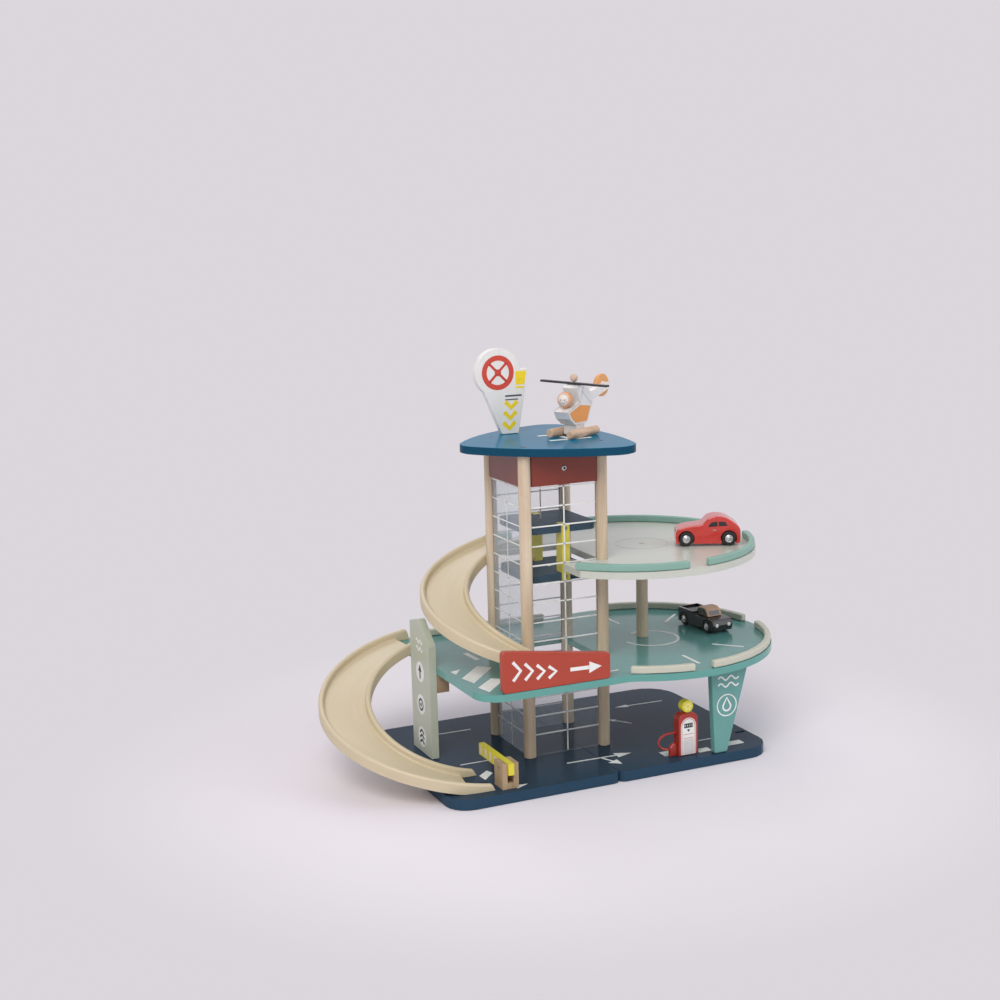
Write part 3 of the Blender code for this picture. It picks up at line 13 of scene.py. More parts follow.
import bmesh
import bpy
import numpy as np
from mathutils import Matrix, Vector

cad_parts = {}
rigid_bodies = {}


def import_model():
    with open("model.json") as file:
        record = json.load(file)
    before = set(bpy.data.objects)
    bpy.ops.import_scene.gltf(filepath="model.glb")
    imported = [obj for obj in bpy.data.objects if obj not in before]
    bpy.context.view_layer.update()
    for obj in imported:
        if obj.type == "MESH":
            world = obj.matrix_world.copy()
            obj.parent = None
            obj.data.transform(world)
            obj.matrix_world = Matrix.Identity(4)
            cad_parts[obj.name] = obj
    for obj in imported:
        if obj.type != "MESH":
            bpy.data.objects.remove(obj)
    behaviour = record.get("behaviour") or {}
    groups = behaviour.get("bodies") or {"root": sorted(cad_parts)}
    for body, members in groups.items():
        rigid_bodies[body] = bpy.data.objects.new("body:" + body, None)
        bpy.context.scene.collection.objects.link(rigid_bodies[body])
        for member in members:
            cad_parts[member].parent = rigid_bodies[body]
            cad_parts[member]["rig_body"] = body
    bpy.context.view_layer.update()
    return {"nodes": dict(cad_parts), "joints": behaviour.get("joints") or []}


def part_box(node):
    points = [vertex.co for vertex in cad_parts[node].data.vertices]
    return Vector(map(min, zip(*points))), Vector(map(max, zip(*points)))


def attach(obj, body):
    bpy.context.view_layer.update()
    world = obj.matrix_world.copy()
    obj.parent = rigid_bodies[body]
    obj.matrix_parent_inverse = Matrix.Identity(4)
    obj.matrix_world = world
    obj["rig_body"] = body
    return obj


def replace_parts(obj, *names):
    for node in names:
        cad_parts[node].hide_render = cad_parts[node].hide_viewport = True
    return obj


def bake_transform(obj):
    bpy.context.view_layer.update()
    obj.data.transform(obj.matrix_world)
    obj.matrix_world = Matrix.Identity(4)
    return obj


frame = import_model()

boards = frame["nodes"]
joints = {joint["name"]: joint for joint in frame["joints"]}
X, Y, Z = np.eye(3)

# %% [markdown]
# ## The camera
# The toy is seen a little from the left and from above. A camera can be placed by eye and
# nudged, but then every later comparison carries its error, so this one was fitted to
# about sixty known points of the toy. It stands two metres off with a small roll. The
# lens is shifted, which moves the toy in the picture without turning it.

# %% Camera
IMAGE = 1000
FOCAL_PIXELS = 1631.4
SENSOR = 36.0
AZIMUTH, PITCH, ROLL = (math.radians(angle) for angle in (25.283, 11.724, -1.097))
LENS_SHIFT = (-0.05, 0.0402)
CAMERA_AT = (-0.7821, -1.6665, 0.6337)
NEAREST = 0.05

look = np.array([math.sin(AZIMUTH) * math.cos(PITCH), math.cos(AZIMUTH) * math.cos(PITCH),
                 -math.sin(PITCH)])
level = np.array([math.cos(AZIMUTH), -math.sin(AZIMUTH), 0.0])
upright = np.cross(level, look)
right = math.cos(ROLL) * level + math.sin(ROLL) * upright
above = -math.sin(ROLL) * level + math.cos(ROLL) * upright


def shown(name, data):
    """A new object that shows a mesh, lamp, curve or camera in the scene."""
    made = bpy.data.objects.new(name, data)
    bpy.context.scene.collection.objects.link(made)
    return made


def pose_of(x_axis, y_axis, z_axis, place):
    """A 4 x 4 pose whose first three columns are the axes and whose last is the place."""
    pose = np.eye(4)
    pose[:3, :] = np.column_stack([x_axis, y_axis, z_axis, place])
    return Matrix(pose)


lens = bpy.data.cameras.new("camera")
lens.sensor_width = SENSOR
lens.lens = FOCAL_PIXELS * SENSOR / IMAGE
lens.shift_x, lens.shift_y = LENS_SHIFT
lens.clip_start = NEAREST
camera = shown("camera", lens)
camera.matrix_world = pose_of(right, above, -look, CAMERA_AT)
bpy.context.scene.camera = camera
bpy.context.scene.view_settings.view_transform = "Standard"
print("lens", round(lens.lens, 2), "mm, camera at", CAMERA_AT)

# %% [markdown]
# ## Surfaces from numbers
# The fittings are rods, rings, domes, printed stripes and bent channels. Boxes and
# cylinders with modifiers would do for some of them. A grid of points, rows by columns,
# does for all: its faces join each point with the next one in the row and in the column,
# so it is closed and even from the start. Nearly every new piece is one of three grids: a
# profile carried along a path, a profile turned about an axis, or a thin patch that
# spreads from its middle to its outline.

# %% Grids of points


def shell(grid, ring=True, loop=False, caps=True):
    """Points and faces of a grid. ring joins the last column to the first one, loop joins
    the last row to the first one, and caps closes the first and last rows."""
    rows, columns = grid.shape[:2]
    row, column = np.meshgrid(np.arange(rows if loop else rows - 1),
                              np.arange(columns if ring else columns - 1), indexing="ij")
    after_row = (row + 1) % rows * columns
    after_column = (column + 1) % columns
    quads = np.stack([row * columns + column, row * columns + after_column,
                      after_row + after_column, after_row + column], -1)
    faces = quads.reshape(-1, 4).tolist()
    if caps and not loop:
        last = (rows - 1) * columns
        faces += [list(range(columns))[::-1], list(range(last, last + columns))]
    return grid.reshape(-1, 3), faces


def unit(v):
    """A vector, or each row of vectors, divided by its own length."""
    return v / np.linalg.norm(v, axis=-1, keepdims=True)


def carry(profile, path, up, scale=1.0, loop=False):
    """A closed profile of (aside, up) points carried along a path.

    Point (i, j) = path[i] + scale[i] * aside[j] * side[i] + up[j] * up, where side[i] is
    square to the path's direction and to up."""
    profile = np.asarray(profile, float)
    path = np.asarray(path, float)
    up = np.asarray(up, float)
    if loop:
        along = np.roll(path, -1, 0) - np.roll(path, 1, 0)
    else:
        along = np.gradient(path, axis=0)
    side = unit(np.cross(up, along))
    scale = np.broadcast_to(np.asarray(scale, float), (len(path),))
    grid = (path[:, None, :] + (scale[:, None] * profile[:, 0])[..., None] * side[:, None, :]
            + profile[:, 1][None, :, None] * up)
    return shell(grid, loop=loop)


def tube(path, radius, sides=12):
    """A round tube: a circle of that radius carried square to the path.

    Point (i, j) = path[i] + radius * (cos t[j] * u[i] + sin t[j] * v[i]), where u[i] and
    v[i] are square to the path's direction, from the axis that the path follows least."""
    path = np.asarray(path, float)
    along = unit(np.gradient(path, axis=0))
    spare = np.eye(3)[np.argmin(np.abs(along).max(0))]
    u = unit(np.cross(along, spare))
    v = np.cross(along, u)
    t = np.linspace(0, 2 * np.pi, sides, endpoint=False)
    grid = path[:, None, :] + radius * (np.cos(t)[None, :, None] * u[:, None, :]
                                        + np.sin(t)[None, :, None] * v[:, None, :])
    return shell(grid)


def turned_about(profile, centre, axis, steps=32):
    """A profile of (radius, along) points turned about an axis through centre.

    Point (i, j) = centre + along[j] * axis + radius[j] * (cos t[i] * u + sin t[i] * v)."""
    profile = np.asarray(profile, float)
    axis = unit(np.asarray(axis, float))
    u = unit(np.cross(axis, np.eye(3)[np.argmin(np.abs(axis))]))
    v = np.cross(axis, u)
    t = np.linspace(0.0, 2 * math.pi, steps, endpoint=False)
    spoke = np.cos(t)[:, None] * u + np.sin(t)[:, None] * v
    grid = (np.asarray(centre, float) + profile[None, :, 1, None] * axis
            + profile[None, :, 0, None] * spoke[:, None, :])
    return shell(grid, ring=False, loop=True)


trial = tube([(0, 0, 0), (0, 0, 1), (0, 0, 2)], 0.5)
print("a tube of three rings:", len(trial[0]), "points,", len(trial[1]), "faces")

# %% [markdown]
# ## Printing on a face
# Signs and boards carry flat printed marks. An image texture would hold them, but it
# blurs close up, and a picture file is one more thing to carry along. Here each mark is
# its own thin shell, a seventh of a millimetre thick and sunk a little into its board, so
# its edge is crisp at any size. Marks are laid out in millimetres on a face of the board.

# %% Faces, stripes and patches
PRINT_HIGH = 0.00014
PRINT_SUNK = 0.00006
SHAFT_LAP, TIP_WIDE = 0.2, 0.1


class Face:
    """A flat face given by a corner and two directions; its normal is a x b."""

    def __init__(self, corner, a, b):
        self.corner = np.array(corner, float)
        self.a = np.array(a, float)
        self.b = np.array(b, float)
        self.up = np.cross(self.a, self.b)

    def at(self, points):
        """Points in space of (a, b) places given in millimetres."""
        points = np.asarray(points, float).reshape(-1, 2) / 1000
        return self.corner + points[:, :1] * self.a + points[:, 1:] * self.b


def stripe(face, points, width, high=PRINT_HIGH, loop=False):
    """A flat printed stripe along points; width in millimetres, one or one per point."""
    wide = np.broadcast_to(np.asarray(width, float), (len(points),)) / 1000
    profile = [(-0.5, -PRINT_SUNK), (0.5, -PRINT_SUNK), (0.5, high), (-0.5, high)]
    return carry(profile, face.at(points), face.up, wide, loop)


def patch(face, outline, high=PRINT_HIGH):
    """A flat printed patch: rings of points from its middle to its outline and back below.

    The middle is the outline's mean, so the outline has to be seen whole from there."""
    edge = face.at(outline)
    middle = np.broadcast_to(edge.mean(0), edge.shape)
    grid = np.stack([middle + face.up * high, middle * 0.5 + edge * 0.5 + face.up * high,
                     edge + face.up * high, edge - face.up * PRINT_SUNK,
                     middle - face.up * PRINT_SUNK])
    return shell(grid, caps=False)


def round_line(centre, radius, start=0.0, end=360.0, steps=64):
    """Places on a circle, angles in degrees."""
    t = np.radians(np.linspace(start, end, steps, endpoint=(end - start) % 360 != 0))
    return np.column_stack([centre[0] + radius * np.cos(t), centre[1] + radius * np.sin(t)])


def arrow(face, tail, tip, width, head_long, head_wide):
    """An arrow as two stripes: a straight shaft and a head that narrows to its tip."""
    tail, tip = np.array(tail, float), np.array(tip, float)
    way = unit(tip - tail)
    neck = tip - way * head_long
    return [stripe(face, np.array([tail, neck + way * SHAFT_LAP]), width),
            stripe(face, np.array([neck, tip]), [head_wide, TIP_WIDE])]


def soft_box(centre, size, corner):
    """The outline of a rounded rectangle: four quarter circles about its inner corners."""
    half = np.array(size) / 2 - corner
    quarter = np.radians(np.linspace(0, 90, 6))
    parts = [np.column_stack([sx * half[0] + corner * np.cos(quarter + turn),
                              sy * half[1] + corner * np.sin(quarter + turn)])
             for sx, sy, turn in ((1, 1, 0), (-1, 1, math.pi / 2), (-1, -1, math.pi),
                                  (1, -1, 1.5 * math.pi))]
    return np.concatenate(parts) + centre


def front_of(node, across=0.0, high=0.0):
    """The upright face on a node's front, with its zero at these shares of the node's
    width and height. Its places are (x, z) in millimetres."""
    low, top = (np.array(corner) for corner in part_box(node))
    return Face(low + (top - low) * (across, 0.0, high), X, Z)


def top_of(node):
    """The level face on a node's top: its places are (x, y) in millimetres."""
    return Face((0, 0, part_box(node)[1].z), X, Y)


def printed_over(face):
    """The face on top of a first layer of print."""
    return Face(face.corner + face.up * PRINT_HIGH, face.a, face.b)


print("print stands", PRINT_HIGH * 1000, "mm proud")

# %% [markdown]
# ## From shells to a piece
# A fitting is often several small shells of one colour, such as a row of chevrons. They
# could be parented objects, but one object keeps the list of pieces short. Their points
# are joined, doubles are merged, and the faces are turned outwards. Each piece then rides
# a body of the toy, so it moves with it.

# %% A piece from shells
MERGE = 2e-6


def object_of(mesh, body):
    """An object at the origin that shows a mesh and rides a body."""
    made = shown(mesh.name, mesh)
    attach(made, body)
    print(f"{made.name}: {len(mesh.vertices)} points on {body}")
    return made


def piece(name, shells, body, look, sharp=35):
    """Join shells into one object whose faces point outwards, and let it ride a body.

    A shell may carry a third array, a place in the wood for each point, kept as grain.
    Edges with more than sharp degrees between their faces stay sharp."""
    points = np.concatenate([made[0] for made in shells])
    starts = np.cumsum([0] + [len(made[0]) for made in shells[:-1]])
    faces = [(np.array(face) + start).tolist() for made, start in zip(shells, starts)
             for face in made[1]]
    mesh = bpy.data.meshes.new(name)
    mesh.from_pydata(points.tolist(), [], faces)
    if len(shells[0]) > 2:
        grain = mesh.attributes.new("grain", "FLOAT_VECTOR", "POINT")
        grain.data.foreach_set("vector", np.concatenate([made[2] for made in shells]).ravel())
    welded = bmesh.new()
    welded.from_mesh(mesh)
    bmesh.ops.remove_doubles(welded, verts=welded.verts, dist=MERGE)
    bmesh.ops.recalc_face_normals(welded, faces=welded.faces)
    welded.to_mesh(mesh)
    welded.free()
    mesh.materials.append(look)
    mesh.shade_smooth()
    mesh.set_sharp_from_angle(angle=math.radians(sharp))
    return object_of(mesh, body)


# %% [markdown]
# ## Paint and wood
# Painted boards show the wood's grain faintly through the paint, bare beech has streaks
# along its length and short dark flecks, and printed ink is thinner where it skipped.
# Photographs of wood could be wrapped round the boards, but they repeat and stretch.
# Here every finish is a few procedural nodes on the piece's own coordinates, so the
# pattern stays put when a car rolls or the lift rides.

# %% Node helpers
WHITE, BLACK = (1.0, 1.0, 1.0, 1.0), (0.0, 0.0, 0.0, 1.0)


def rgb(text, gain=1.0):
    """Linear colour from hex as seen on screen: below 0.04045 v / 12.92, above it
    ((v + 0.055) / 1.055) ** 2.4."""
    v = np.array([int(text[i:i + 2], 16) / 255 for i in (0, 2, 4)])
    linear = np.where(v <= 0.04045, v / 12.92, ((v + 0.055) / 1.055) ** 2.4) * gain
    return (*np.clip(linear, 0, 1).tolist(), 1.0)


def feed(tree, node, inputs):
    """Give each named input a plain value, or a link from another node's output."""
    for socket, value in inputs.items():
        if isinstance(value, bpy.types.NodeSocket):
            tree.links.new(value, node.inputs[socket])
        else:
            node.inputs[socket].default_value = value
    return node


def add_node(tree, kind, inputs=None, **options):
    """Add a shader node, set its options and feed its inputs."""
    node = tree.nodes.new("ShaderNode" + kind)
    for option, value in options.items():
        setattr(node, option, value)
    return feed(tree, node, inputs or {})


print("white on screen is", rgb("FFFFFF"), "and mid grey", rgb("808080"))

# %% A finish


class Finish:
    """A Principled material with short ways to add nodes to it.

    Its patterns lie on object coordinates, or on a place kept with each point."""

    def __init__(self, name, roughness, metallic=0.0, place=None):
        self.material = bpy.data.materials.new(name)
        self.material.use_nodes = True
        self.tree = self.material.node_tree
        self.shader = self.tree.nodes["Principled BSDF"]
        self.give({"Roughness": roughness, "Metallic": metallic})
        if place is None:
            self.place = self.add("TexCoord").outputs["Object"]
        else:
            self.place = self.add("Attribute", attribute_name=place).outputs["Vector"]

    def add(self, kind, inputs=None, **options):
        """Add a node to this finish."""
        return add_node(self.tree, kind, inputs, **options)

    def give(self, inputs):
        """Feed the shader itself."""
        feed(self.tree, self.shader, inputs)

    def noise(self, stretch, detail=3.0, rough=0.55, warp=0.0):
        """Noise stretched by its three scales per metre."""
        where = self.add("Mapping", {"Vector": self.place, "Scale": stretch})
        made = self.add("TexNoise", {"Vector": where.outputs["Vector"], "Scale": 1.0,
                                     "Detail": detail, "Roughness": rough, "Distortion": warp})
        return made.outputs["Fac"]

    def ramp(self, factor, start, end, first, last):
        """A colour that goes from first to last while the factor goes from start to end."""
        made = self.add("ValToRGB", {"Fac": factor})
        for stop, place, colour in zip(made.color_ramp.elements, (start, end), (first, last)):
            stop.position = place
            stop.color = colour
        return made.outputs["Color"]

    def tones(self, factor, start, end, colour, low, high=1.0):
        """A ramp between two gains of one colour."""
        return self.ramp(factor, start, end, rgb(colour, low), rgb(colour, high))

    def mix(self, factor, first, second, way="MIX"):
        """Mix two colours; the factor and the colours are values or outputs."""
        made = self.add("Mix", {0: factor, 6: first, 7: second}, data_type="RGBA",
                        blend_type=way)
        return made.outputs[2]

    def uneven_gloss(self, factor, low, high):
        """Roughness from low to high over a noise's usual range, 0.15 to 0.85."""
        made = self.add("MapRange", {"Value": factor, "From Min": 0.15, "From Max": 0.85,
                                     "To Min": low, "To Max": high})
        self.give({"Roughness": made.outputs["Result"]})

    def relief(self, height, strength, distance):
        """Bump on the shader's normal; the distance is in metres."""
        made = self.add("Bump", {"Height": height, "Strength": strength,
                                 "Distance": distance})
        self.give({"Normal": made.outputs["Normal"]})


print("short ways of a finish:", [way for way in vars(Finish) if way[0] != "_"])

# %% Painted and bare wood
ALONG, ACROSS = 14.0, 160.0


def grain_scale(grain, along=1.0, across=1.0):
    """Noise scales per metre: low along the grain's axis and high across it."""
    return tuple(ALONG * along if axis == grain else ACROSS * across for axis in "xyz")


def painted(name, colour, grain="x", gloss=0.35, coat=0.25, tint=0.05, place=None,
            edge=None, shine=0.5):
    """Paint on wood: small colour drift, faint grain in the relief, uneven gloss.

    With an edge colour, faces that don't look up take that colour instead. shine is the
    specular level, low for paint that stays deep at a flat view."""
    made = Finish(name, gloss, place=place)
    drift = made.noise((18.0, 18.0, 18.0), 2.0)
    fibre = made.noise(grain_scale(grain), 5.0, 0.6, 0.3)
    base = made.tones(drift, 0.1, 0.9, colour, 1 - tint, 1 + tint)
    # painted light: faces that don't look up take the edge colour, for how tops and sides catch
    # the light
    if edge:
        aim = made.add("SeparateXYZ", {0: made.add("TexCoord").outputs["Normal"]})
        looks_up = made.ramp(aim.outputs["Z"], 0.55, 0.75, BLACK, WHITE)
        base = made.mix(looks_up, made.tones(drift, 0.1, 0.9, edge, 1 - tint, 1 + tint), base)
    streak = made.ramp(fibre, 0.15, 0.85, (0.91, 0.91, 0.91, 1.0), WHITE)
    made.give({"Base Color": made.mix(1.0, base, streak, "MULTIPLY"),
               "Specular IOR Level": shine, "Coat Weight": coat, "Coat Roughness": 0.12})
    made.uneven_gloss(drift, gloss - 0.05, gloss + 0.07)
    made.relief(fibre, 0.25, 0.00025)
    return made.material


def bare(name, pale, dark, grain="z", gloss=0.5):
    """Beech: broad streaks, fine fibres and short darker flecks along the grain."""
    made = Finish(name, gloss)
    broad = made.noise(grain_scale(grain, 0.35, 0.45), 3.0, 0.5, 0.6)
    fibre = made.noise(grain_scale(grain, 1.2, 4.0), 6.0, 0.65)
    fleck = made.noise(grain_scale(grain, 9.0, 7.0), 2.0, 0.5)
    base = made.ramp(broad, 0.32, 0.68, rgb(dark), rgb(pale))
    fine = made.ramp(fibre, 0.35, 0.62, (0.90, 0.88, 0.85, 1.0), WHITE)
    spots = made.ramp(fleck, 0.30, 0.36, (0.80, 0.72, 0.64, 1.0), WHITE)
    toned = made.mix(1.0, base, fine, "MULTIPLY")
    made.give({"Base Color": made.mix(0.6, toned, spots, "MULTIPLY")})
    made.uneven_gloss(fibre, gloss - 0.05, gloss + 0.1)
    made.relief(fibre, 0.3, 0.0003)
    return made.material


print("noise scales of upright beech:", grain_scale("z"))

# %% [markdown]
# ## Ink, metal, clear sheet and cord
# Ink and pressed metal are nearly even, so their life comes from a fine tooth and brushed
# lines in the relief. The tower's panels are thin clear plastic. A glass shader would
# bend and darken what is behind them, as a thick block does, so they are a veil that is
# almost open when faced and thickens at a slant. That pale veil is painted reflection,
# where clear plastic mirrors its bright surroundings. The lift's cord is twisted from
# strands.

# %% Ink, metal, clear sheet, cord
INK_TOOTH = 2200.0


def ink(name, colour, gloss=0.45):
    """Screen-printed ink: nearly even, a little thin in places, with a fine tooth."""
    made = Finish(name, gloss)
    cover = made.noise((90.0, 90.0, 90.0), 4.0, 0.6)
    tooth = made.noise((INK_TOOTH, INK_TOOTH, INK_TOOTH), 2.0)
    made.give({"Base Color": made.tones(cover, 0.25, 0.5, colour, 0.88)})
    made.uneven_gloss(cover, gloss - 0.06, gloss + 0.08)
    made.relief(tooth, 0.1, 0.00005)
    return made.material


def metal(name, colour, gloss=0.28):
    """Pressed metal with fine brushed lines."""
    made = Finish(name, gloss, 1.0)
    lines = made.noise((900.0, 900.0, 120.0), 3.0)
    made.give({"Base Color": made.tones(lines, 0.3, 0.7, colour, 0.85)})
    made.uneven_gloss(lines, gloss - 0.06, gloss + 0.12)
    made.relief(lines, 0.1, 0.00004)
    return made.material


def clear_sheet(name, colour, clear, veil):
    """Thin clear plastic: see-through when faced, with a pale veil at a slant as painted
    reflection.

    Its cover is clear + (veil - clear) * f ** 2.5, where f is 0 when the sheet is faced
    and 1 when it is seen edge on, and a smear pattern makes its gloss uneven."""
    made = Finish(name, 0.06)
    smear = made.noise((25.0, 25.0, 9.0), 3.0)
    # painted reflection: the cover grows pale towards edge on, where clear plastic mirrors more
    slant = made.add("LayerWeight", {"Blend": 0.5})
    power = made.add("Math", {0: slant.outputs["Facing"], 1: 2.5}, operation="POWER")
    cover = made.add("MapRange", {"Value": power.outputs[0], "To Min": clear, "To Max": veil})
    made.give({"Base Color": made.tones(smear, 0.3, 0.7, colour, 0.96),
               "Alpha": cover.outputs["Result"], "Specular IOR Level": 0.6})
    made.uneven_gloss(smear, 0.04, 0.14)
    return made.material


def braid(name, colour):
    """Twisted cord: slanting strands as a wave across the cord's own length."""
    made = Finish(name, 0.85)
    wave = made.add("TexWave", {"Vector": made.place, "Scale": 260.0, "Distortion": 0.4},
                    wave_type="BANDS", bands_direction="DIAGONAL")
    strands = wave.outputs["Fac"]
    made.give({"Base Color": made.tones(strands, 0.1, 0.7, colour, 0.6), "Sheen Weight": 0.2})
    made.relief(strands, 0.5, 0.0002)
    return made.material


print("one tooth of the ink is", round(1000 / INK_TOOTH, 2), "mm wide")

# %% [markdown]
# ## Finishes on the packed nodes
# The nodes' shapes are right, so they only get a better finish. One material for each
# colour would do, but boards that run in other directions need their grain turned, so
# the grain follows each board's long side, and round posts have theirs upright. The base,
# the middle deck and the pad have an edge colour for their sides, which is painted light:
# their tops and sides differ for how each catches the light.

# %% Finishes of the nodes
NODE_FINISHES = [
    (bare("beech_upright", "DFD1B9", "CDB69B"),
     "post_front_left post_front_right post_back_left post_back_right deck_post"),
    (bare("beech_across", "DBC8AC", "C6AB8C", "y"), "winch_spindle crank_knob"),
    (bare("beech_shaded", "A88F75", "8F765C", "y"), "sign_block"),
    (bare("beech_block", "C4AD8D", "A98F70", "z"), "barrier_block"),
    (bare("beech_skids", "DDBFA4", "C9A486", "x"), "skid_left skid_right pickup_cab"),
    (bare("beech_beads", "DCC4B0", "CDB09A", "z", 0.45), "pilot_head rotor_ball"),
    (painted("navy_gloss", "2B4052", "x", 0.16, 0.0, edge="324B60", shine=0.04),
     "base_left base_right"),
    (painted("pad_blue_gloss", "06759A", "x", 0.10, 0.0, edge="1B4A64", shine=0.025),
     "helipad"),
    (painted("brick_gloss", "853526", "x", 0.3, 0.1), "fascia_front fascia_back"),
    (painted("brick_gloss_side", "783428", "y", 0.3, 0.05), "fascia_left fascia_right"),
    (painted("green_gloss", "5F9994", "x", 0.14, 0.0, 0.03, edge="68A69E", shine=0.3),
     "mid_deck"),
    (painted("sage_satin", "CACFC4", "x", 0.3, 0.2, 0.02), "upper_deck"),
    (painted("cream_satin", "CCCCBC", "x", 0.45, 0.1),
     "mid_rim_front mid_rim_right mid_rim_back mid_rim_straight"),
    (painted("teal_satin", "88B1A4", "x", 0.45, 0.1),
     "upper_rim_front upper_rim_right upper_rim_back upper_rim_straight"),
    (painted("sign_red_satin", "B4432F", "x", 0.4, 0.1), "parking_sign"),
    (painted("sign_sage_satin", "BFC6B4", "z", 0.42, 0.1), "ramp_sign"),
    (painted("sign_teal_satin", "68A29C", "z", 0.42, 0.1), "service_sign"),
    (painted("sign_white_satin", "ECEBE7", "z", 0.4, 0.15, 0.01), "top_sign"),
    (painted("lift_blue_satin", "153E52", "x", 0.4, 0.0, shine=0.03), "lift_floor lift_roof"),
    (painted("yellow_satin", "E8DA35", "z", 0.4, 0.15),
     "lift_strut_front lift_strut_back barrier_arm pump_globe"),
    (painted("pump_red_satin", "AA3227", "z", 0.35, 0.2), "pump_body pump_hose pump_nozzle"),
    (painted("heli_white_satin", "E6E5E4", "z", 0.4, 0.15, 0.01), "heli_body"),
    (painted("orange_satin", "E3A262", "z", 0.4, 0.15), "heli_tail_disc"),
    (painted("black_gloss", "1E1A1B", "x", 0.25, 0.3), "heli_rotor pickup_body"),
    (painted("coupe_red_gloss", "D0372F", "x", 0.2, 0.6), "coupe_body"),
    (painted("tyre_black", "242223", "x", 0.5, 0.0),
     "coupe_wheels_front coupe_wheels_rear pickup_wheels_front pickup_wheels_rear"),
    (metal("pin_steel", "B9BBBE"), "barrier_pin"),
    (clear_sheet("clear_front_sheet", "DDE6EE", 0.03, 0.75), "panel_front"),
    (clear_sheet("clear_side_sheet", "D3DEE8", 0.09, 0.75), "panel_back panel_left")]
for look_of, nodes in NODE_FINISHES:
    for node in nodes.split():
        boards[node].data.materials.clear()
        boards[node].data.materials.append(look_of)
print("finished nodes:", sum(len(nodes.split()) for _, nodes in NODE_FINISHES))

# %% Inks and silver
white_ink = ink("white_ink", "EDEFEC")
black_ink = ink("black_ink", "232127")
red_ink = ink("red_ink", "CE4636")
yellow_ink = ink("yellow_ink", "F4D822")
orange_ink = ink("orange_ink", "E89A4E")
navy_ink = ink("navy_ink", "4A5068")
silver = metal("hub_silver", "D5D6D8")
print("materials so far:", len(bpy.data.materials))

# %% [markdown]
# ## Road marks
# The boards are screen-printed with lanes, arrows and crossings. They could be cut into
# the paint as a mask, but a mask has to be drawn again for each board. As stripes and
# patches each mark is one line of places, read off the board from above.

# %% Marks on the base
base_face = top_of("base_left")
marks = [stripe(base_face, [(-109, 79), (-69, 78)], 2.2),
         stripe(base_face, [(-129, -35), (-84, -35)], 2.2),
         stripe(base_face, [(150, -90), (168, -90)], 2.2),
         patch(base_face, [(-124, -78), (-110, -66), (-107, -76), (-123, -93)]),
         patch(base_face, [(-103, -134), (-87, -126), (-99, -124)]),
         patch(base_face, soft_box((95, -112), (13, 15), 0.6)),
         patch(base_face, soft_box((138, -121), (17, 12), 0.6)),
         patch(base_face, soft_box((181, -116), (24, 12), 0.6))]
marks += arrow(base_face, (-20, -87), (60, -90), 2.6, 19, 15)
marks += arrow(base_face, (22, -89), (34, -118), 2.6, 14, 15)
marks += arrow(base_face, (189, 67), (123, 70), 2.2, 18, 9)
marks += arrow(base_face, (112, 5), (94, 31), 2.2, 9, 8)
piece("base_marks", marks, "garage", white_ink)

# %% Marks on the middle deck
mid_face = top_of("mid_deck")
marks = [stripe(mid_face, round_line((131, -10.5), 33, -180, 109), 3.0),
         stripe(mid_face, [(129, 99), (130, 68)], 3.4),
         stripe(mid_face, [(183, 47), (213, 75)], 3.4),
         stripe(mid_face, [(181, -69), (207, -97)], 3.4),
         stripe(mid_face, [(126.4, -94), (126.3, -132)], 3.4),
         stripe(mid_face, [(14, -111), (34, -111)], 3.4),
         stripe(mid_face, [(-90, 37), (-87.5, 4)], 6.0),
         patch(mid_face, [(-134, -27), (-121, -23), (-132.5, -40)]),
         patch(mid_face, [(-132.7, -57), (-127.7, -80), (-86, -33), (-99, -20)]),
         patch(mid_face, [(-130.5, -98), (-126, -118.5), (-92, -82), (-104.5, -72)])]
piece("middle_deck_marks", marks, "garage", white_ink)

# %% Marks on the upper deck and the landing pad
upper_face = top_of("upper_deck")
pad_face = top_of("helipad")
low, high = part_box("deck_post")
post_at = ((low.x + high.x) * 500, (low.y + high.y) * 500)
piece("upper_deck_marks", [stripe(upper_face, round_line(post_at, 31, 20, 380), 1.6, loop=True)],
      "garage", ink("faint_ink", "BCC5BF"))
piece("pad_marks", [stripe(pad_face, [(-2, -20), (50, -20)], 6.0),
                    stripe(pad_face, [(2, 21), (50, 21)], 6.0),
                    stripe(pad_face, [(24, -17.5), (24, 18.5)], 6.0)], "garage", white_ink)

# %% [markdown]
# ## Plugs over the screws
# Each post is screwed on through the board above it, and a low wooden plug closes the
# hole. A flat disc would do from afar, but a dome catches the light as the real one does.

# %% Plugs
HALF_PITCH = 47.5


def plug(face, at, radius):
    """A plug turned about the face's normal, radius in millimetres: at a share s of the
    radius its height is 0.45 * (1 - s ** 2) + 0.1 mm."""
    r = radius / 1000
    share = np.linspace(0, 1, 7)
    dome = np.column_stack([r * share, 0.00045 * (1 - share ** 2) + 0.0001])
    skirt = np.array([(r, -PRINT_SUNK), (0, -PRINT_SUNK)])
    return turned_about(np.concatenate([dome, skirt]), face.at([at])[0], face.up, 24)


bare_plug = bare("plug_wood", "C6BCA8", "B3A791", "x")
dark_plug = painted("plug_navy", "173C55", "x", 0.4)
piece("deck_plug", [plug(upper_face, post_at, 3.6)], "garage", bare_plug)
corners = [(sx * HALF_PITCH, sy * HALF_PITCH) for sx in (-1, 1) for sy in (-1, 1)]
piece("pad_plugs", [plug(pad_face, at, 3.4) for at in corners], "garage", dark_plug)

# %% [markdown]
# ## The ramps
# Each ramp is a channel of bent wood that goes round half a turn as it falls: a floor
# between two round-topped rails. A curve with a bevel shape would tilt the channel in
# the bend, and this one stays level from side to side. So its middle line is laid out on
# the plan and given its fall, and then the floor and both rails are carried along it.
# The floor meets the rails in a small hollow. Every point also keeps how far along the
# ramp it is, so that the wood's grain can follow the bend.

# %% A ramp's middle line


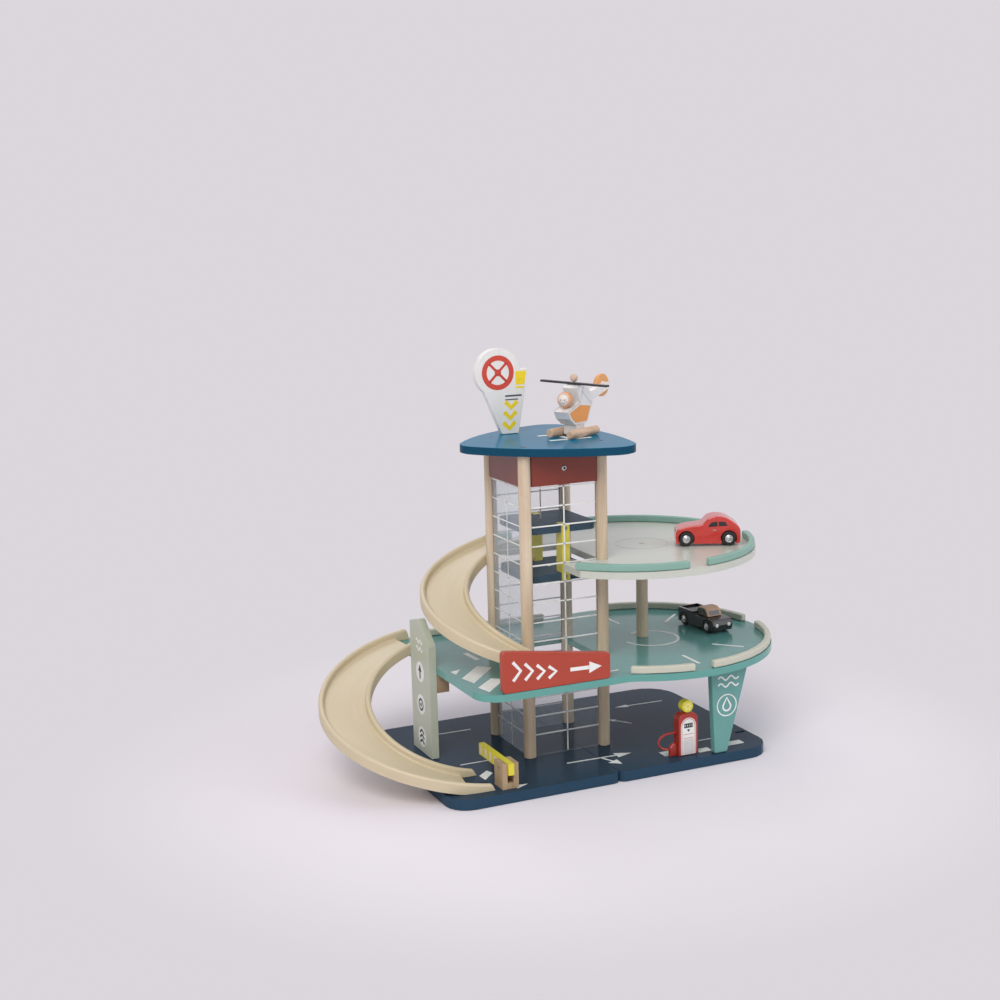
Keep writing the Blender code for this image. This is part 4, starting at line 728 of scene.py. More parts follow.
class Bend:
    """A ramp's middle line, in millimetres, by its run length from the upper end.

    Its plan is the half ellipse (cx + A cos t, cy + B sin t) for t from 90 to 270
    degrees with straight ends, and its height is fall(u) at a share u of the run."""

    def __init__(self, centre, long_way, wide_way, start, end, fall):
        t = np.radians(np.linspace(90, 270, 721))
        plan = np.column_stack([centre[0] + long_way * np.cos(t),
                                centre[1] + wide_way * np.sin(t)])
        self.plan = np.concatenate([[(start, plan[0, 1])], plan, [(end, plan[-1, 1])]])
        steps = np.hypot(*np.diff(self.plan, axis=0).T)
        self.run = np.concatenate([[0], np.cumsum(steps)])
        self.fall = fall

    def place(self, s):
        """Points at run lengths. Before its start the line goes straight on, level."""
        x = np.interp(s, self.run, self.plan[:, 0]) - np.minimum(s, 0)
        y = np.interp(s, self.run, self.plan[:, 1])
        return np.column_stack([x, y, self.fall(np.clip(s / self.run[-1], 0, 1))])

    def back(self, x):
        """Run length where the straight upper end passes x."""
        return self.plan[0, 0] - x

    def front(self, x):
        """Run length where the straight lower end passes x."""
        return self.run[-1] - (self.plan[-1, 0] - x)

    def last_above(self, height, end):
        """The last run length up to end where the line is still above a height."""
        s = np.linspace(0, end, 2000)
        return s[self.place(s)[:, 2] > height][-1]


trial = Bend((0, 0), 10, 10, 0, 0, np.zeros_like)
print("a level half turn of 10 mm radius is", round(trial.run[-1], 2), "mm long")

# %% Sections carried along the bend
RAIL, RAIL_HIGH, HOLLOW, BEVEL = 6.0, 8.5, 2.4, 0.5
UNDER_RAIL, FLOOR_LIFT, THINNEST = 0.4, 0.05, 0.02


def along_bend(bend, profile, start, end, ground, nose=(0.0, 0.0), rows=130):
    """A closed profile of (aside, up) points, in millimetres, carried along a bend.

    Point (i, j) = place[i] + aside[j] * left[i] + up'[j] * Z, kept above the ground, which
    is given as (run length, height) points. Near an end with a nose the profile sinks to
    its foot as sqrt(1 - t ** 2), with t from 0 to 1 over the nose's length."""
    fine = 1 - np.cos(np.linspace(0, np.pi / 2, 9))
    s = np.unique(np.concatenate([np.linspace(start, end, rows), start + nose[0] * fine,
                                  end - nose[1] * fine]).round(4))
    place = bend.place(s)
    along = (bend.place(s + 0.5) - bend.place(s - 0.5)) * (1, 1, 0)
    left = np.cross(Z, unit(along))
    sink = np.ones(len(s))
    for edge, length in ((start, nose[0]), (end, nose[1])):
        t = np.clip(1 - np.abs(s - edge) / length, 0, 1) if length else 0 * s
        sink *= np.sqrt(np.maximum(1 - t ** 2, THINNEST))
    aside, up = np.array(profile, float).T
    foot = up.min()
    grid = (place[:, None, :] + aside[None, :, None] * left[:, None, :]
            + (foot + (up[None, :] - foot) * sink[:, None])[..., None] * Z)
    grid[..., 2] = np.maximum(grid[..., 2], np.interp(s, *np.array(ground).T)[:, None])
    grain = np.stack(np.broadcast_arrays(s[:, None], aside[None, :], up[None, :]), -1)
    points, faces = shell(grid / 1000)
    return points, faces, grain.reshape(-1, 3) / 1000


def rail_profile(middle, low):
    """A rail's section: straight sides, a half round top and a small bevel at the foot."""
    half = RAIL / 2
    top = round_line((middle, RAIL_HIGH - half), half, 0, 180, 13)
    foot = [(middle - half + BEVEL, -low), (middle + half - BEVEL, -low),
            (middle + half, -low + BEVEL)]
    return np.concatenate([foot, top, [(middle - half, -low + BEVEL)]])


def floor_profile(width, low):
    """The floor's section: flat below, and a hollow of radius HOLLOW up to each rail."""
    inner = width / 2 - RAIL
    edge = inner + UNDER_RAIL
    right_hollow = round_line((inner - HOLLOW, HOLLOW), HOLLOW, -90, 0, 9)
    left_hollow = round_line((-inner + HOLLOW, HOLLOW), HOLLOW, 180, 270, 9)
    foot = -low + FLOOR_LIFT
    return np.concatenate([[(-edge, foot), (edge, foot), (edge, HOLLOW)],
                           right_hollow[::-1], left_hollow[::-1], [(-edge, HOLLOW)]])


def channel(bend, wide, low, ground, floor, outer, inner):
    """Shells of a floor and its two rails. floor, outer and inner each say where that
    part starts and ends along the bend, and how long its noses are there."""
    side = (wide - RAIL) / 2
    profiles = (floor_profile(wide, low), rail_profile(-side, low), rail_profile(side, low))
    return [along_bend(bend, profile, start, end, ground, nose)
            for profile, (start, end, *nose) in zip(profiles, (floor, outer, inner))]


def falling(top, foot, lean, ease):
    """A fall: height = top + (foot - top) * (u - lean * u * (1 - u) -
    ease * u * (1 - u) * (1 - 2 * u)). lean shifts the fall towards the foot, and ease
    flattens both ends."""
    return lambda u: top + (foot - top) * (u - lean * u * (1 - u)
                                           - ease * u * (1 - u) * (1 - 2 * u))


print("points in a rail's section:", len(rail_profile(0, 5)),
      "in a floor's:", len(floor_profile(56, 5)))

# %% Upper ramp
SEAT_GAP, FLOOR_LEAVES = 0.3, 0.42
UPPER_WIDE, UPPER_THICK = 56.0, 5.5
UPPER_CENTRE, UPPER_INNER = (-36.2, -1.0), 57.5
UPPER_START_X, UPPER_END_X, UPPER_LEAD_X = -26.8, -16.2, -1.5
UPPER_SINK, UPPER_LEAN, UPPER_EASE = 1.0, 0.09, 0.12
base_top, mid_top, upper_top = (face.corner[2] * 1000
                                for face in (base_face, mid_face, upper_face))
varnish = painted("ramp_varnish", "D3C5A6", "x", 0.42, 0.12, 0.02, "grain")

reach = UPPER_INNER + UPPER_WIDE / 2
bend = Bend(UPPER_CENTRE, reach, reach, UPPER_START_X, UPPER_END_X,
            falling(upper_top, mid_top - UPPER_SINK, UPPER_LEAN, UPPER_EASE))
ground, end = [(0, mid_top + SEAT_GAP)], bend.front(UPPER_END_X)
floor_end = bend.last_above(mid_top + FLOOR_LEAVES, end)
shells = channel(bend, UPPER_WIDE, UPPER_THICK, ground, (0.0, floor_end, 0, 0),
                 (0.0, end, 0, 5.0), (0.0, end, 0, 5.0))
lead_rail = rail_profile((UPPER_WIDE - RAIL) / 2, -SEAT_GAP)
shells.append(along_bend(bend, lead_rail, bend.back(UPPER_LEAD_X), 0.5, ground, (5.0, 0), 20))
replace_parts(piece("upper_ramp_bent", shells, "garage", varnish, 40), "upper_ramp")

# %% Lower ramp
LOWER_WIDE, LOWER_THICK = 59.0, 5.0
LOWER_CENTRE, LOWER_INNER_LONG, LOWER_INNER_WIDE = (-131.5, 2.5), 84.0, 72.0
LOWER_END_X, LOWER_TOP_X, LOWER_FLOOR_X = -125.5, -140.5, -148.5
LOWER_RISE, LOWER_SINK, LOWER_EASE = 5.3, 1.5, 0.52

bend = Bend(LOWER_CENTRE, LOWER_INNER_LONG + LOWER_WIDE / 2, LOWER_INNER_WIDE + LOWER_WIDE / 2,
            LOWER_END_X, LOWER_END_X,
            falling(mid_top + LOWER_RISE, base_top - LOWER_SINK, 0, LOWER_EASE))
deck_edge = bend.back(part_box("mid_deck")[0].x * 1000 - SEAT_GAP)
ground = [(deck_edge, mid_top + SEAT_GAP), (deck_edge + 0.1, base_top + SEAT_GAP)]
top_start, end = bend.back(LOWER_TOP_X), bend.front(LOWER_END_X)
floor_end = min(bend.front(LOWER_FLOOR_X), bend.last_above(base_top + FLOOR_LEAVES, end))
shells = channel(bend, LOWER_WIDE, LOWER_THICK, ground, (top_start, floor_end, 0, 0),
                 (0.0, end, 5.0, 6.0), (top_start, end, 4.0, 6.0))
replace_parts(piece("lower_ramp_bent", shells, "garage", varnish, 40), "lower_ramp")

# %% [markdown]
# ## Panel grids
# The clear panels carry a printed window grid in white: level bars, and one upright in
# the middle. The bars could be part of the panels' material, as a brick pattern, but
# then they would fade with the panel's veil. As stripes they stay white from any side.

# %% Window grids
GRID_PITCH, GRID_FIRST, BAR, BAR_HALF = 21.93, 37.5, 1.6, 40.2
for side, corner, along in (("front", (0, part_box("panel_front")[0].y, 0), X),
                            ("back", (0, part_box("panel_back")[1].y, 0), -X),
                            ("left", (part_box("panel_left")[0].x, 0, 0), -Y)):
    face = Face(corner, along, Z)
    foot, top = (corner.z * 1000 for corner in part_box("panel_" + side))
    heights = np.arange(GRID_FIRST, top - 2, GRID_PITCH)
    bars = [stripe(face, [(-BAR_HALF, h), (BAR_HALF, h)], BAR) for h in heights]
    bars.append(stripe(face, [(0, foot + 1), (0, top - 0.5)], BAR))
    piece("panel_grid_" + side, bars, "garage", white_ink)

# %% [markdown]
# ## Signs
# Four painted boards carry plain road shapes: chevrons and an arrow, discs with marks,
# waves with a drop, and a wheel. Text objects and drawings could fill them, but stripes
# of even width look like cut stencils, which suits a toy. Where a mark lies on a printed
# disc, it is printed over that disc's face.

# %% Waves and chevrons
WAVE_STEPS = 40


def waves(face, middle, heights, half, swing, width):
    """Wavy stripes: places (middle + half * t, h + swing * sin(2 pi t)), t from -1 to 1."""
    t = np.linspace(-1, 1, WAVE_STEPS)
    return [stripe(face, np.column_stack([middle + half * t, h + swing * np.sin(t * 2 * np.pi)]),
                   width) for h in heights]


def chevron(face, x, z, half, rise, width):
    """A bent stripe: from (x - half, z + rise) to (x, z) and on to (x + half, z + rise)."""
    return stripe(face, np.array([(x - half, z + rise), (x, z), (x + half, z + rise)]), width)


print("a wave runs through", WAVE_STEPS, "places")

# %% Red sign by the deck's front
red_face = front_of("parking_sign")
marks = []
for step in range(4):
    x, tall, middle = 17 + 14 * step, 21 - 2.6 * step, 23.5 - 2.1 * step
    marks.append(stripe(red_face, np.array([(x - 5, middle + tall / 2), (x + 4, middle),
                                            (x - 5, middle - tall / 2)]), 3.6))
marks += arrow(red_face, (80, 16.5), (118, 15.5), 4.2, 15, 13)
piece("red_sign_marks", marks, "garage", white_ink)

# %% Sage sign by the ramp
DISC_RADIUS, TOP_DISC, MIDDLE_DISC, LOW_DISC = 12, 109, 70, 31
low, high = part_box("ramp_sign")
sage_face = Face((low.x, (low.y + high.y) / 2, 0), -Y, Z)
discs = [patch(sage_face, round_line((0, z), DISC_RADIUS, steps=48))
         for z in (TOP_DISC, MIDDLE_DISC, LOW_DISC)]
discs += waves(sage_face, 0, (145, 136), 9.5, 2.0, 2.0)
piece("sage_sign_discs", discs, "garage", white_ink)
over = printed_over(sage_face)
marks = arrow(over, (0, TOP_DISC - 8), (0, TOP_DISC + 8.5), 3.2, 8, 10)
marks += [stripe(over, round_line((0, MIDDLE_DISC), 6.2), 2.4, loop=True),
          patch(over, round_line((0, MIDDLE_DISC), 2.2, steps=20))]
marks += [chevron(over, 0, LOW_DISC + rise, 6.5, -4, 2.6) for rise in (-3.5, 2.5, 8.5)]
piece("sage_sign_marks", marks, "garage", black_ink)

# %% Teal sign at the pump
low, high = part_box("service_sign")
teal_face = Face((low.x, low.y, 0), X, Z)
marks = waves(teal_face, 22.5, (100, 92), 13.5, 2.2, 1.8)
marks += [stripe(teal_face, round_line((20.5, 68), 12.5), 1.3, loop=True),
          stripe(teal_face, round_line((20.5, 66.5), 5.0, -210, 30), 2.0),
          stripe(teal_face, [(16.2, 69.0), (20.5, 77.0), (24.8, 69.0)], 2.0)]
piece("teal_sign_marks", marks, "garage", white_ink)

# %% White sign on the pad
white_face = Face((0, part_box("top_sign")[0].y, 0), X, Z)
WHEEL_AT = np.array([-31.5, 442.0])
wheel = [stripe(white_face, round_line(WHEEL_AT, 17.0), 6.0, loop=True),
         patch(white_face, round_line(WHEEL_AT, 4.0, steps=24))]
for turn in np.radians((45, 135, 225, 315)):
    way = np.array([math.cos(turn), math.sin(turn)])
    wheel.append(stripe(white_face, np.array([WHEEL_AT + way * 3.5, WHEEL_AT + way * 14.6]), 3.0))
piece("white_sign_wheel", wheel, "garage", red_ink)
marks = [chevron(white_face, x, z, 7.5, 7.5, 5.2)
         for x, z in ((-15.5, 400.5), (-17.0, 388.5), (-18.5, 376.5))]
marks.append(patch(white_face, [(4.4, 442.5), (-9.5, 442.5), (-9.5, 427.0), (1.7, 427.0)]))
marks.append(stripe(white_face, [(-9.5, 424.0), (1.1, 424.0)], 2.2))
piece("white_sign_yellow", marks, "garage", yellow_ink)
piece("white_sign_lines", [stripe(white_face, [(-23, 414.5), (-2, 414.5)], 2.0),
                           stripe(white_face, [(-23, 410.2), (-7, 410.2)], 1.4)], "garage",
      navy_ink)

# %% [markdown]
# ## The pump
# The pump's front has a white arched panel with a fine outline, a black counter with
# white figures, a small pointer and a pale grey panel below. Each layer could be set
# into the one behind, but on the toy print lies on print, so each is laid over the last
# by its thickness. The figures come from a text curve that is made a mesh. The round
# lamp on top has six pale facets.

# %% Pump front
pump_face = front_of("pump_body", 0.5)
ARCH_SHOULDER = 34.6


def arch(half, foot):
    """A panel's outline: straight sides and a half circle on top."""
    crown = round_line((0, ARCH_SHOULDER), half, 0, 180, 20)
    return np.concatenate([[(half, foot)], crown, [(-half, foot)]])


over = printed_over(pump_face)
piece("pump_panel", [patch(pump_face, arch(9.8, 0.9))], "garage", white_ink)
piece("pump_outline", [stripe(over, arch(8.6, 1.2), 0.6),
                       stripe(over, [(-6.5, 20.5), (6.5, 20.5)], 0.5),
                       stripe(over, [(-6.5, 25), (6.5, 25)], 0.5)], "garage", red_ink)
piece("pump_lower_panel", [patch(over, soft_box((0, 10.6), (13.6, 17.6), 0.8))], "garage",
      ink("pale_grey_ink", "D9D6D5"))
piece("pump_counter", [patch(over, soft_box((0, 35.2), (11.5, 5.2), 0.8)),
                       patch(over, [(-2, 30.6), (2, 30.6), (0, 27.6)])], "garage", black_ink)

# %% Figures on the counter
FIGURE_SIZE, FIGURE_THICK = 0.0039, 0.00006


def figures(name, text, face, at, body, look):
    """Figures on a face: a text curve is made a mesh, and each of its points (x, y, z)
    goes to at + x * a + y * b + z * up of the face."""
    curve = bpy.data.curves.new(name, "FONT")
    curve.body = text
    curve.size = FIGURE_SIZE
    curve.align_x = "CENTER"
    curve.align_y = "CENTER"
    curve.extrude = FIGURE_THICK
    guide = shown(name + "_guide", curve)
    bpy.context.view_layer.update()
    seen = guide.evaluated_get(bpy.context.evaluated_depsgraph_get())
    mesh = bpy.data.meshes.new_from_object(seen)
    mesh.name = name
    bpy.data.objects.remove(guide)
    flat = np.zeros(len(mesh.vertices) * 3)
    mesh.vertices.foreach_get("co", flat)
    flat = flat.reshape(-1, 3)
    points = face.at([at])[0] + flat @ np.array([face.a, face.b, face.up])
    mesh.vertices.foreach_set("co", points.ravel())
    mesh.materials.clear()
    mesh.materials.append(look)
    return object_of(mesh, body)


figures("pump_digits", "0 4 2 5", printed_over(over), (0, 35.2), "garage", white_ink)

# %% Pump globe
globe_face = front_of("pump_globe", 0.5, 0.5)
facets = []
for turn in np.radians(np.arange(0, 360, 60)):
    way = np.array([math.cos(turn), math.sin(turn)])
    side = np.array([-way[1], way[0]])
    facets.append(patch(globe_face, np.array([way * 1.2, way * 3.2 + side * 1.5, way * 5.6,
                                              way * 3.2 - side * 1.5])))
piece("globe_facets", facets, "garage", ink("pale_yellow_ink", "F3EFA6"))

# %% [markdown]
# ## The lift
# Two yellow struts are screwed to the plates from the front and the back, and the floor
# plate has an arrow and a row of stripes where the cars drive in. The cord is a round
# tube with a twisted finish. It could ride the lift, but then it would leave the winch.
# So it rides no body: it is taken off the lift and stays where it hangs. The winding is a
# helix of six turns that rides the winch.

# %% Screws on the struts
SCREW_RADIUS, SCREW_IN = 0.0021, 0.0045


def screw(centre, axis):
    """A countersunk screw, turned from (radius, height) points: a flat middle for the
    driver, a raised ring and a rim that runs into the wood."""
    r = SCREW_RADIUS
    profile = [(0, 0.0001), (r * 0.45, 0.0001), (r * 0.5, 0.00045), (r * 0.9, 0.0004),
               (r, 0.0001), (r, -0.0004), (0, -0.0004)]
    return turned_about(profile, centre, axis, 20)


screws = []
for node, way in (("lift_strut_front", -1), ("lift_strut_back", 1)):
    low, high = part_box(node)
    face_y = low.y if way < 0 else high.y
    screws += [screw(((low.x + high.x) / 2, face_y, z), (0, way, 0))
               for z in (low.z + SCREW_IN, high.z - SCREW_IN)]
piece("strut_screws", screws, "lift", metal("screw_steel", "9A9486", 0.4))

# %% Marks on the lift's floor
lift_face = top_of("lift_floor")
marks = [patch(lift_face, soft_box((38.6, y), (7, 5), 0.4)) for y in range(-32, 33, 11)]
marks += arrow(lift_face, (-22, 0), (12, 0), 3.4, 12, 12)
piece("lift_marks", marks, "lift", white_ink)

# %% The cord
CORD_RINGS = 60
low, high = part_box("lift_cord")
cord_x, cord_foot, cord_top = (low.x + high.x) / 2, low.z, high.z
cord_radius = (high.x - low.x) / 2
drop = np.zeros((CORD_RINGS, 3))
drop[:, 0] = cord_x
drop[:, 2] = cord_foot + (cord_top - cord_foot) * np.linspace(0, 1, CORD_RINGS)
cord = piece("lift_cord_twisted", [tube(drop, cord_radius)], "lift",
             braid("cord_braid", "DDD6C8"))
cord.parent = None
del cord["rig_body"]
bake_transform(cord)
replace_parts(cord, "lift_cord")

# %% The winding on the spindle
TURNS, RINGS_PER_TURN, WINDING_HALF = 6, 28, 0.0048
share = np.linspace(0, 1, TURNS * RINGS_PER_TURN)
angle = 2 * np.pi * TURNS * share
helix = np.column_stack([-abs(cord_x) * np.cos(angle), WINDING_HALF * (2 * share - 1),
                         cord_top + abs(cord_x) * np.sin(angle)])
piece("cord_winding", [tube(helix, cord_radius * 0.95, 8)], "winch",
      braid("winding_braid", "DDD6C8"))

# %% [markdown]
# ## The spindle's end
# The spindle shows as a bright ring with a dark middle in the front board. It could be a
# bevelled cylinder; a ring turned from six points has the same rolled edge with less.

# %% Spindle end
low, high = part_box("winch_spindle")
front = (0, low.y, (low.z + high.z) / 2)
ring_profile = [(0.0013, 0.0002), (0.0016, 0.0007), (0.0024, 0.0006), (0.0029, 0.0001),
                (0.0029, -0.0003), (0.0013, -0.0003), (0.0013, 0.0002)]
hole_shade_profile = [(0, 0.0001), (0.0014, 0.0001), (0.0014, -0.0002), (0, -0.0002)]
piece("spindle_cap", [turned_about(ring_profile, front, -Y, 28)], "winch",
      metal("cap_steel", "DAD9D6", 0.25))
# painted shade: a black disc stands for the shaded hole in the middle of the cap
piece("spindle_hole_shade", [turned_about(hole_shade_profile, front, -Y, 20)], "winch", black_ink)

# %% [markdown]
# ## The barrier
# The yellow arm has pale upright stripes printed on both sides. A striped material would
# run round its edges too, so they are patches on the two side faces.

# %% Barrier stripes
STRIPE_FOOT, STRIPE_TOP, STRIPE_WIDE = 1.6, 11.4, 6.5
low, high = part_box("barrier_arm")
stripes = []
for face, sign in ((Face((low.x, low.y, low.z), -Y, Z), -1),
                   (Face((high.x, low.y, low.z), Y, Z), 1)):
    for at in (34, 47, 60, 73):
        outline = [(at, STRIPE_FOOT), (at + STRIPE_WIDE, STRIPE_FOOT),
                   (at + STRIPE_WIDE, STRIPE_TOP), (at, STRIPE_TOP)]
        stripes.append(patch(face, np.array(outline) * (sign, 1)))
piece("barrier_stripes", stripes, "barrier", ink("pale_sand_ink", "E6D9B8"))

# %% [markdown]
# ## The helicopter
# The helicopter is a thick white slab. Its tub is orange on both sides with fine lines
# above it, its pilot is a wooden ball with an orange cap rim and a simple painted face,
# and its tail disc has a pale round middle. The slab stands askew on the pad, so its
# marks are laid out in its own directions, which its two rotors' places give. The face
# is made of low domes on the ball, since a flat patch would cut into it.

# %% The helicopter's own directions
SLAB_HALF, MIDDLE_AHEAD = 0.010, 0.003
rotor_at = np.array(joints["rotor_spin"]["pos_m"])
tail_at = np.array(joints["tail_disc_spin"]["pos_m"])
ahead = unit((rotor_at - tail_at) * (1, 1, 0))
left = np.cross(Z, ahead)
heli_at = rotor_at + MIDDLE_AHEAD * ahead
heli_at[2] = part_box("skid_left")[0].z
print("the helicopter points along", ahead.round(3))

# %% Tub panels and lines


def both_sides(middle, forward, aside, half):
    """The faces on a slab's two sides, half its thickness from its middle, each with the
    signs that turn (forward, up) places into the face's own."""
    return [(Face(middle + aside * half * side, forward * -side, Z), np.array([-side, 1]))
            for side in (1, -1)]


tub = np.array([(16.2, 22.4), (20.2, 28.2), (-0.5, 36.0), (-20.6, 33.0), (-13.0, 16.6),
                (8.8, 16.6)])
cabin_line = np.array([(23.0, 29.9), (-1.0, 38.9), (-4.2, 48.0), (-7.0, 57.0)])
boom_line = np.array([(-24.2, 35.0), (-13.0, 43.5), (-3.5, 52.0)])
tub_shells, line_shells = [], []
for face, flip in both_sides(heli_at, ahead, left, SLAB_HALF):
    tub_shells.append(patch(face, tub * flip))
    line_shells += [stripe(face, line * flip, 0.5) for line in (cabin_line, boom_line)]
piece("tub_panels", tub_shells, "helicopter", orange_ink)
piece("cabin_lines", line_shells, "helicopter", ink("grey_line_ink", "A9A8A6"))

# %% Shapes on a ball


def cap_on_ball(centre, radius, axis, start, end, thick):
    """A shell on a ball between two angles from an axis: the (radius, along) points
    are r * (sin a, cos a), out along the ball and back a little lower."""
    a = np.radians(np.linspace(start, end, 14))
    arc = np.column_stack([np.sin(a), np.cos(a)])
    outer, inner = (radius + thick) * arc, (radius - thick) * arc[::-1]
    return turned_about(np.concatenate([outer, inner, outer[:1]]), centre, axis, 40)


def dots_on_ball(centre, radius, axis, places, size):
    """Low domes on a ball. A place (across, high, share) lies at those degrees from the
    axis, along axis * cos across * cos high + aside * sin across + up * sin high, and
    its dome's radius is share * size."""
    aside = unit(np.cross(Z, axis))
    up = np.cross(axis, aside)
    domes = []
    for across, high, share in places:
        a, b, r = math.radians(across), math.radians(high), share * size
        way = unit(axis * math.cos(a) * math.cos(b) + aside * math.sin(a) + up * math.sin(b))
        profile = [(0, 0.00022), (r * 0.7, 0.00016), (r, 0.00002), (r, -0.0003), (0, -0.0003)]
        domes.append(turned_about(profile, centre + way * radius, way, 14))
    return domes


low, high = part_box("pilot_head")
head_at, head_radius = np.array((low + high) / 2), (high.z - low.z) / 2
gaze = unit(ahead * 0.97 + left * 0.24)
print("the head's radius is", round(head_radius * 1000, 2), "mm")

# %% The pilot's cap rim and face
DOT, SMILE_DOT, CHEEK = 0.0009, 0.0008, 0.0011
rim = cap_on_ball(head_at, head_radius, gaze + 0.15 * Z, 66, 88, 0.00018)
piece("pilot_cap_rim", [rim], "helicopter", orange_ink)
ground = cap_on_ball(head_at, head_radius, gaze + 0.05 * Z, 0.5, 44, 0.00012)
piece("pilot_face_ground", [ground], "helicopter", ink("face_ink", "E9DCD2"))
smile = [(across, -17 - 6 * math.cos(math.radians(across) * 5), 0.55)
         for across in np.linspace(-18, 18, 9)]
dots = dots_on_ball(head_at, head_radius, gaze, [(-17, 6, 1.0), (17, 6, 1.0)], DOT)
dots += dots_on_ball(head_at, head_radius, gaze, smile, SMILE_DOT)
piece("pilot_face", dots, "helicopter", ink("slate_ink", "5A6478"))
cheeks = dots_on_ball(head_at, head_radius, gaze, [(-30, -8, 1.0), (30, -8, 1.0)], CHEEK)
piece("pilot_cheeks", cheeks, "helicopter", ink("cheek_ink", "E4A08C"))

# %% Tail disc middle
DISC_HALF = 0.0025
axis = np.array(joints["tail_disc_spin"]["axis"], float)
low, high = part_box("heli_tail_disc")
disc_middle = np.array((low + high) / 2)
boss_profile = [(0, 0.0009), (0.0030, 0.0008), (0.0044, 0.0003), (0.0046, -0.0003),
                (0, -0.0003)]
bosses = [turned_about(boss_profile, disc_middle + axis * DISC_HALF * side, axis * side, 28)
          for side in (1, -1)]
piece("tail_disc_bosses", bosses, "tail_disc", painted("boss_white", "E9E7E3", "z", 0.4))

# %% [markdown]
# ## The cars' wheels
# Both cars roll on dark wheels with bright pressed hubs. The wheels are packed nodes
# that turn on their axles, and each hub rides the same body as its wheel. A texture on
# the wheel's side would be flat; a turned hub has a rolled rim that flashes as it turns.

# %% Hubs
HUB_SUNK = 0.0004


def hub(centre, axis, r):
    """A pressed hub cap: a rolled rim and a low dome, turned from (radius, height)."""
    profile = [(0, 0.0013), (r * 0.35, 0.0012), (r * 0.62, 0.0006), (r * 0.74, 0.0004),
               (r * 0.86, 0.0009), (r, 0.0006), (r, -0.0012), (0, -0.0012)]
    return turned_about(profile, centre, axis, 28)


def axle(car, end):
    """The middle of a car's front or rear axle."""
    return np.array(joints[f"{car}_{end}_turn"]["pos_m"])


def car_frame(car):
    """A car's middle on the ground, its forward and left directions, from its axles."""
    front, rear = axle(car, "front"), axle(car, "rear")
    forward = unit(front - rear)
    middle = (front + rear) / 2
    middle[2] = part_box(car + "_wheels_front")[0].z
    return middle, forward, np.cross(Z, forward)


for car, width, hub_radius in (("coupe", 0.0328, 0.0046), ("pickup", 0.0308, 0.0042)):
    aside = car_frame(car)[2]
    for end in ("front", "rear"):
        hubs = [hub(axle(car, end) + aside * side * (width / 2 - HUB_SUNK), aside * side,
                    hub_radius) for side in (1, -1)]
        piece(f"{car}_hubs_{end}", hubs, f"{car}_{end}", silver)

# %% [markdown]
# ## The red car's body
# The red car is sawn from a thick board and rounded over at its side edges, with arches
# for the wheels. A Bevel modifier makes such edges, but it stumbles at the sharp feet of
# the arches. So the body is one core and two side layers: each layer is the same side
# outline, with the arches taken out, and its rings step inwards near the outer side.

# %% Outlines and layers
EASE_FOOT, EASE_HIGH = 6, 5
SPACING, REACH = 0.6, 3
BELLY, WHEELBASE, WHEEL_RADIUS, ARCH_GAP = 3.0, 50.0, 8.5, 1.0


def smoothed(outline):
    """A closed outline sampled evenly, each point then averaged with its neighbours."""
    outline = np.asarray(outline, float)
    ring = np.concatenate([outline, outline[:1]])
    run = np.concatenate([[0], np.cumsum(np.hypot(*np.diff(ring, axis=0).T))])
    at = np.linspace(0, run[-1], round(run[-1] / SPACING), endpoint=False)
    even = np.column_stack([np.interp(at, run, ring[:, 0]), np.interp(at, run, ring[:, 1])])
    return np.mean([np.roll(even, step, 0) for step in range(-REACH, REACH + 1)], 0)


def layer(outline, start, end, radius=0.0):
    """An outline, anticlockwise in (x, z) millimetres, from y = start to y = end.

    Its edge at the end is rounded: at an angle a the ring lies radius * (1 - cos a)
    inwards and radius * (1 - sin a) short of the end. The rounding dies out downwards
    over 5 mm to a height of 6 mm, so the belly stays crisp."""
    onward = np.roll(outline, -1, 0) - np.roll(outline, 1, 0)
    inwards = unit(np.column_stack([-onward[:, 1], onward[:, 0]]))
    inwards *= np.clip((outline[:, 1:] - EASE_FOOT) / EASE_HIGH, 0, 1)
    rings = [(0.0, start), (0.0, end)]
    if radius:
        a = np.linspace(0, np.pi / 2, 7)
        short = np.sign(end - start) * radius * (1 - np.sin(a))
        rings = rings[:1] + list(zip(radius * (1 - np.cos(a)), end - short))
    return shell(np.stack([np.insert(outline + inwards * inset, 1, y, axis=1)
                           for inset, y in rings]))


def placed(made, middle, forward, aside):
    """A shell of millimetres in a car's own directions, put where the car stands."""
    points, faces = made
    return middle + points / 1000 @ np.array([forward, aside, Z]), faces


def arches():
    """Wheel arches along the belly, from the rear one to the front one: each is the part
    of a circle about the axle that lies above the belly."""
    radius = WHEEL_RADIUS + ARCH_GAP
    low_at = math.degrees(math.asin((WHEEL_RADIUS - BELLY) / radius))
    return np.concatenate([round_line((x, WHEEL_RADIUS), radius, 180 + low_at, -low_at, 30)
                           for x in (-WHEELBASE / 2, WHEELBASE / 2)])


print("an arch starts", round(arches()[0][1], 2), "mm above the ground")

# %% The red car's body
COUPE_HALF, SIDE_THICK, LAYER_OVERLAP, EDGE_RADIUS = 16.0, 6.75, 0.02, 1.5
nose = [(36.8, BELLY), (37.6, 8.0), (37.8, 13.0), (36.6, 17.8), (34.8, 20.4), (28.0, 22.4),
        (22.0, 23.5), (13.0, 24.6), (6.5, 25.5)]
roof = round_line((-11.5, 6.5), 28.5, 68, 118, 24)
tail = [(-31.0, 27.6), (-34.8, 24.8), (-37.2, 22.2), (-38.6, 18.6), (-38.8, 13.0),
        (-38.5, 8.0), (-37.8, BELLY)]
outline = np.concatenate([nose, roof, tail])
arched = np.concatenate([outline, arches()])
core_half = COUPE_HALF - SIDE_THICK
shells = [layer(smoothed(outline), -core_half, core_half)]
shells += [layer(smoothed(arched), side * (core_half - LAYER_OVERLAP), side * COUPE_HALF,
                 EDGE_RADIUS) for side in (1, -1)]
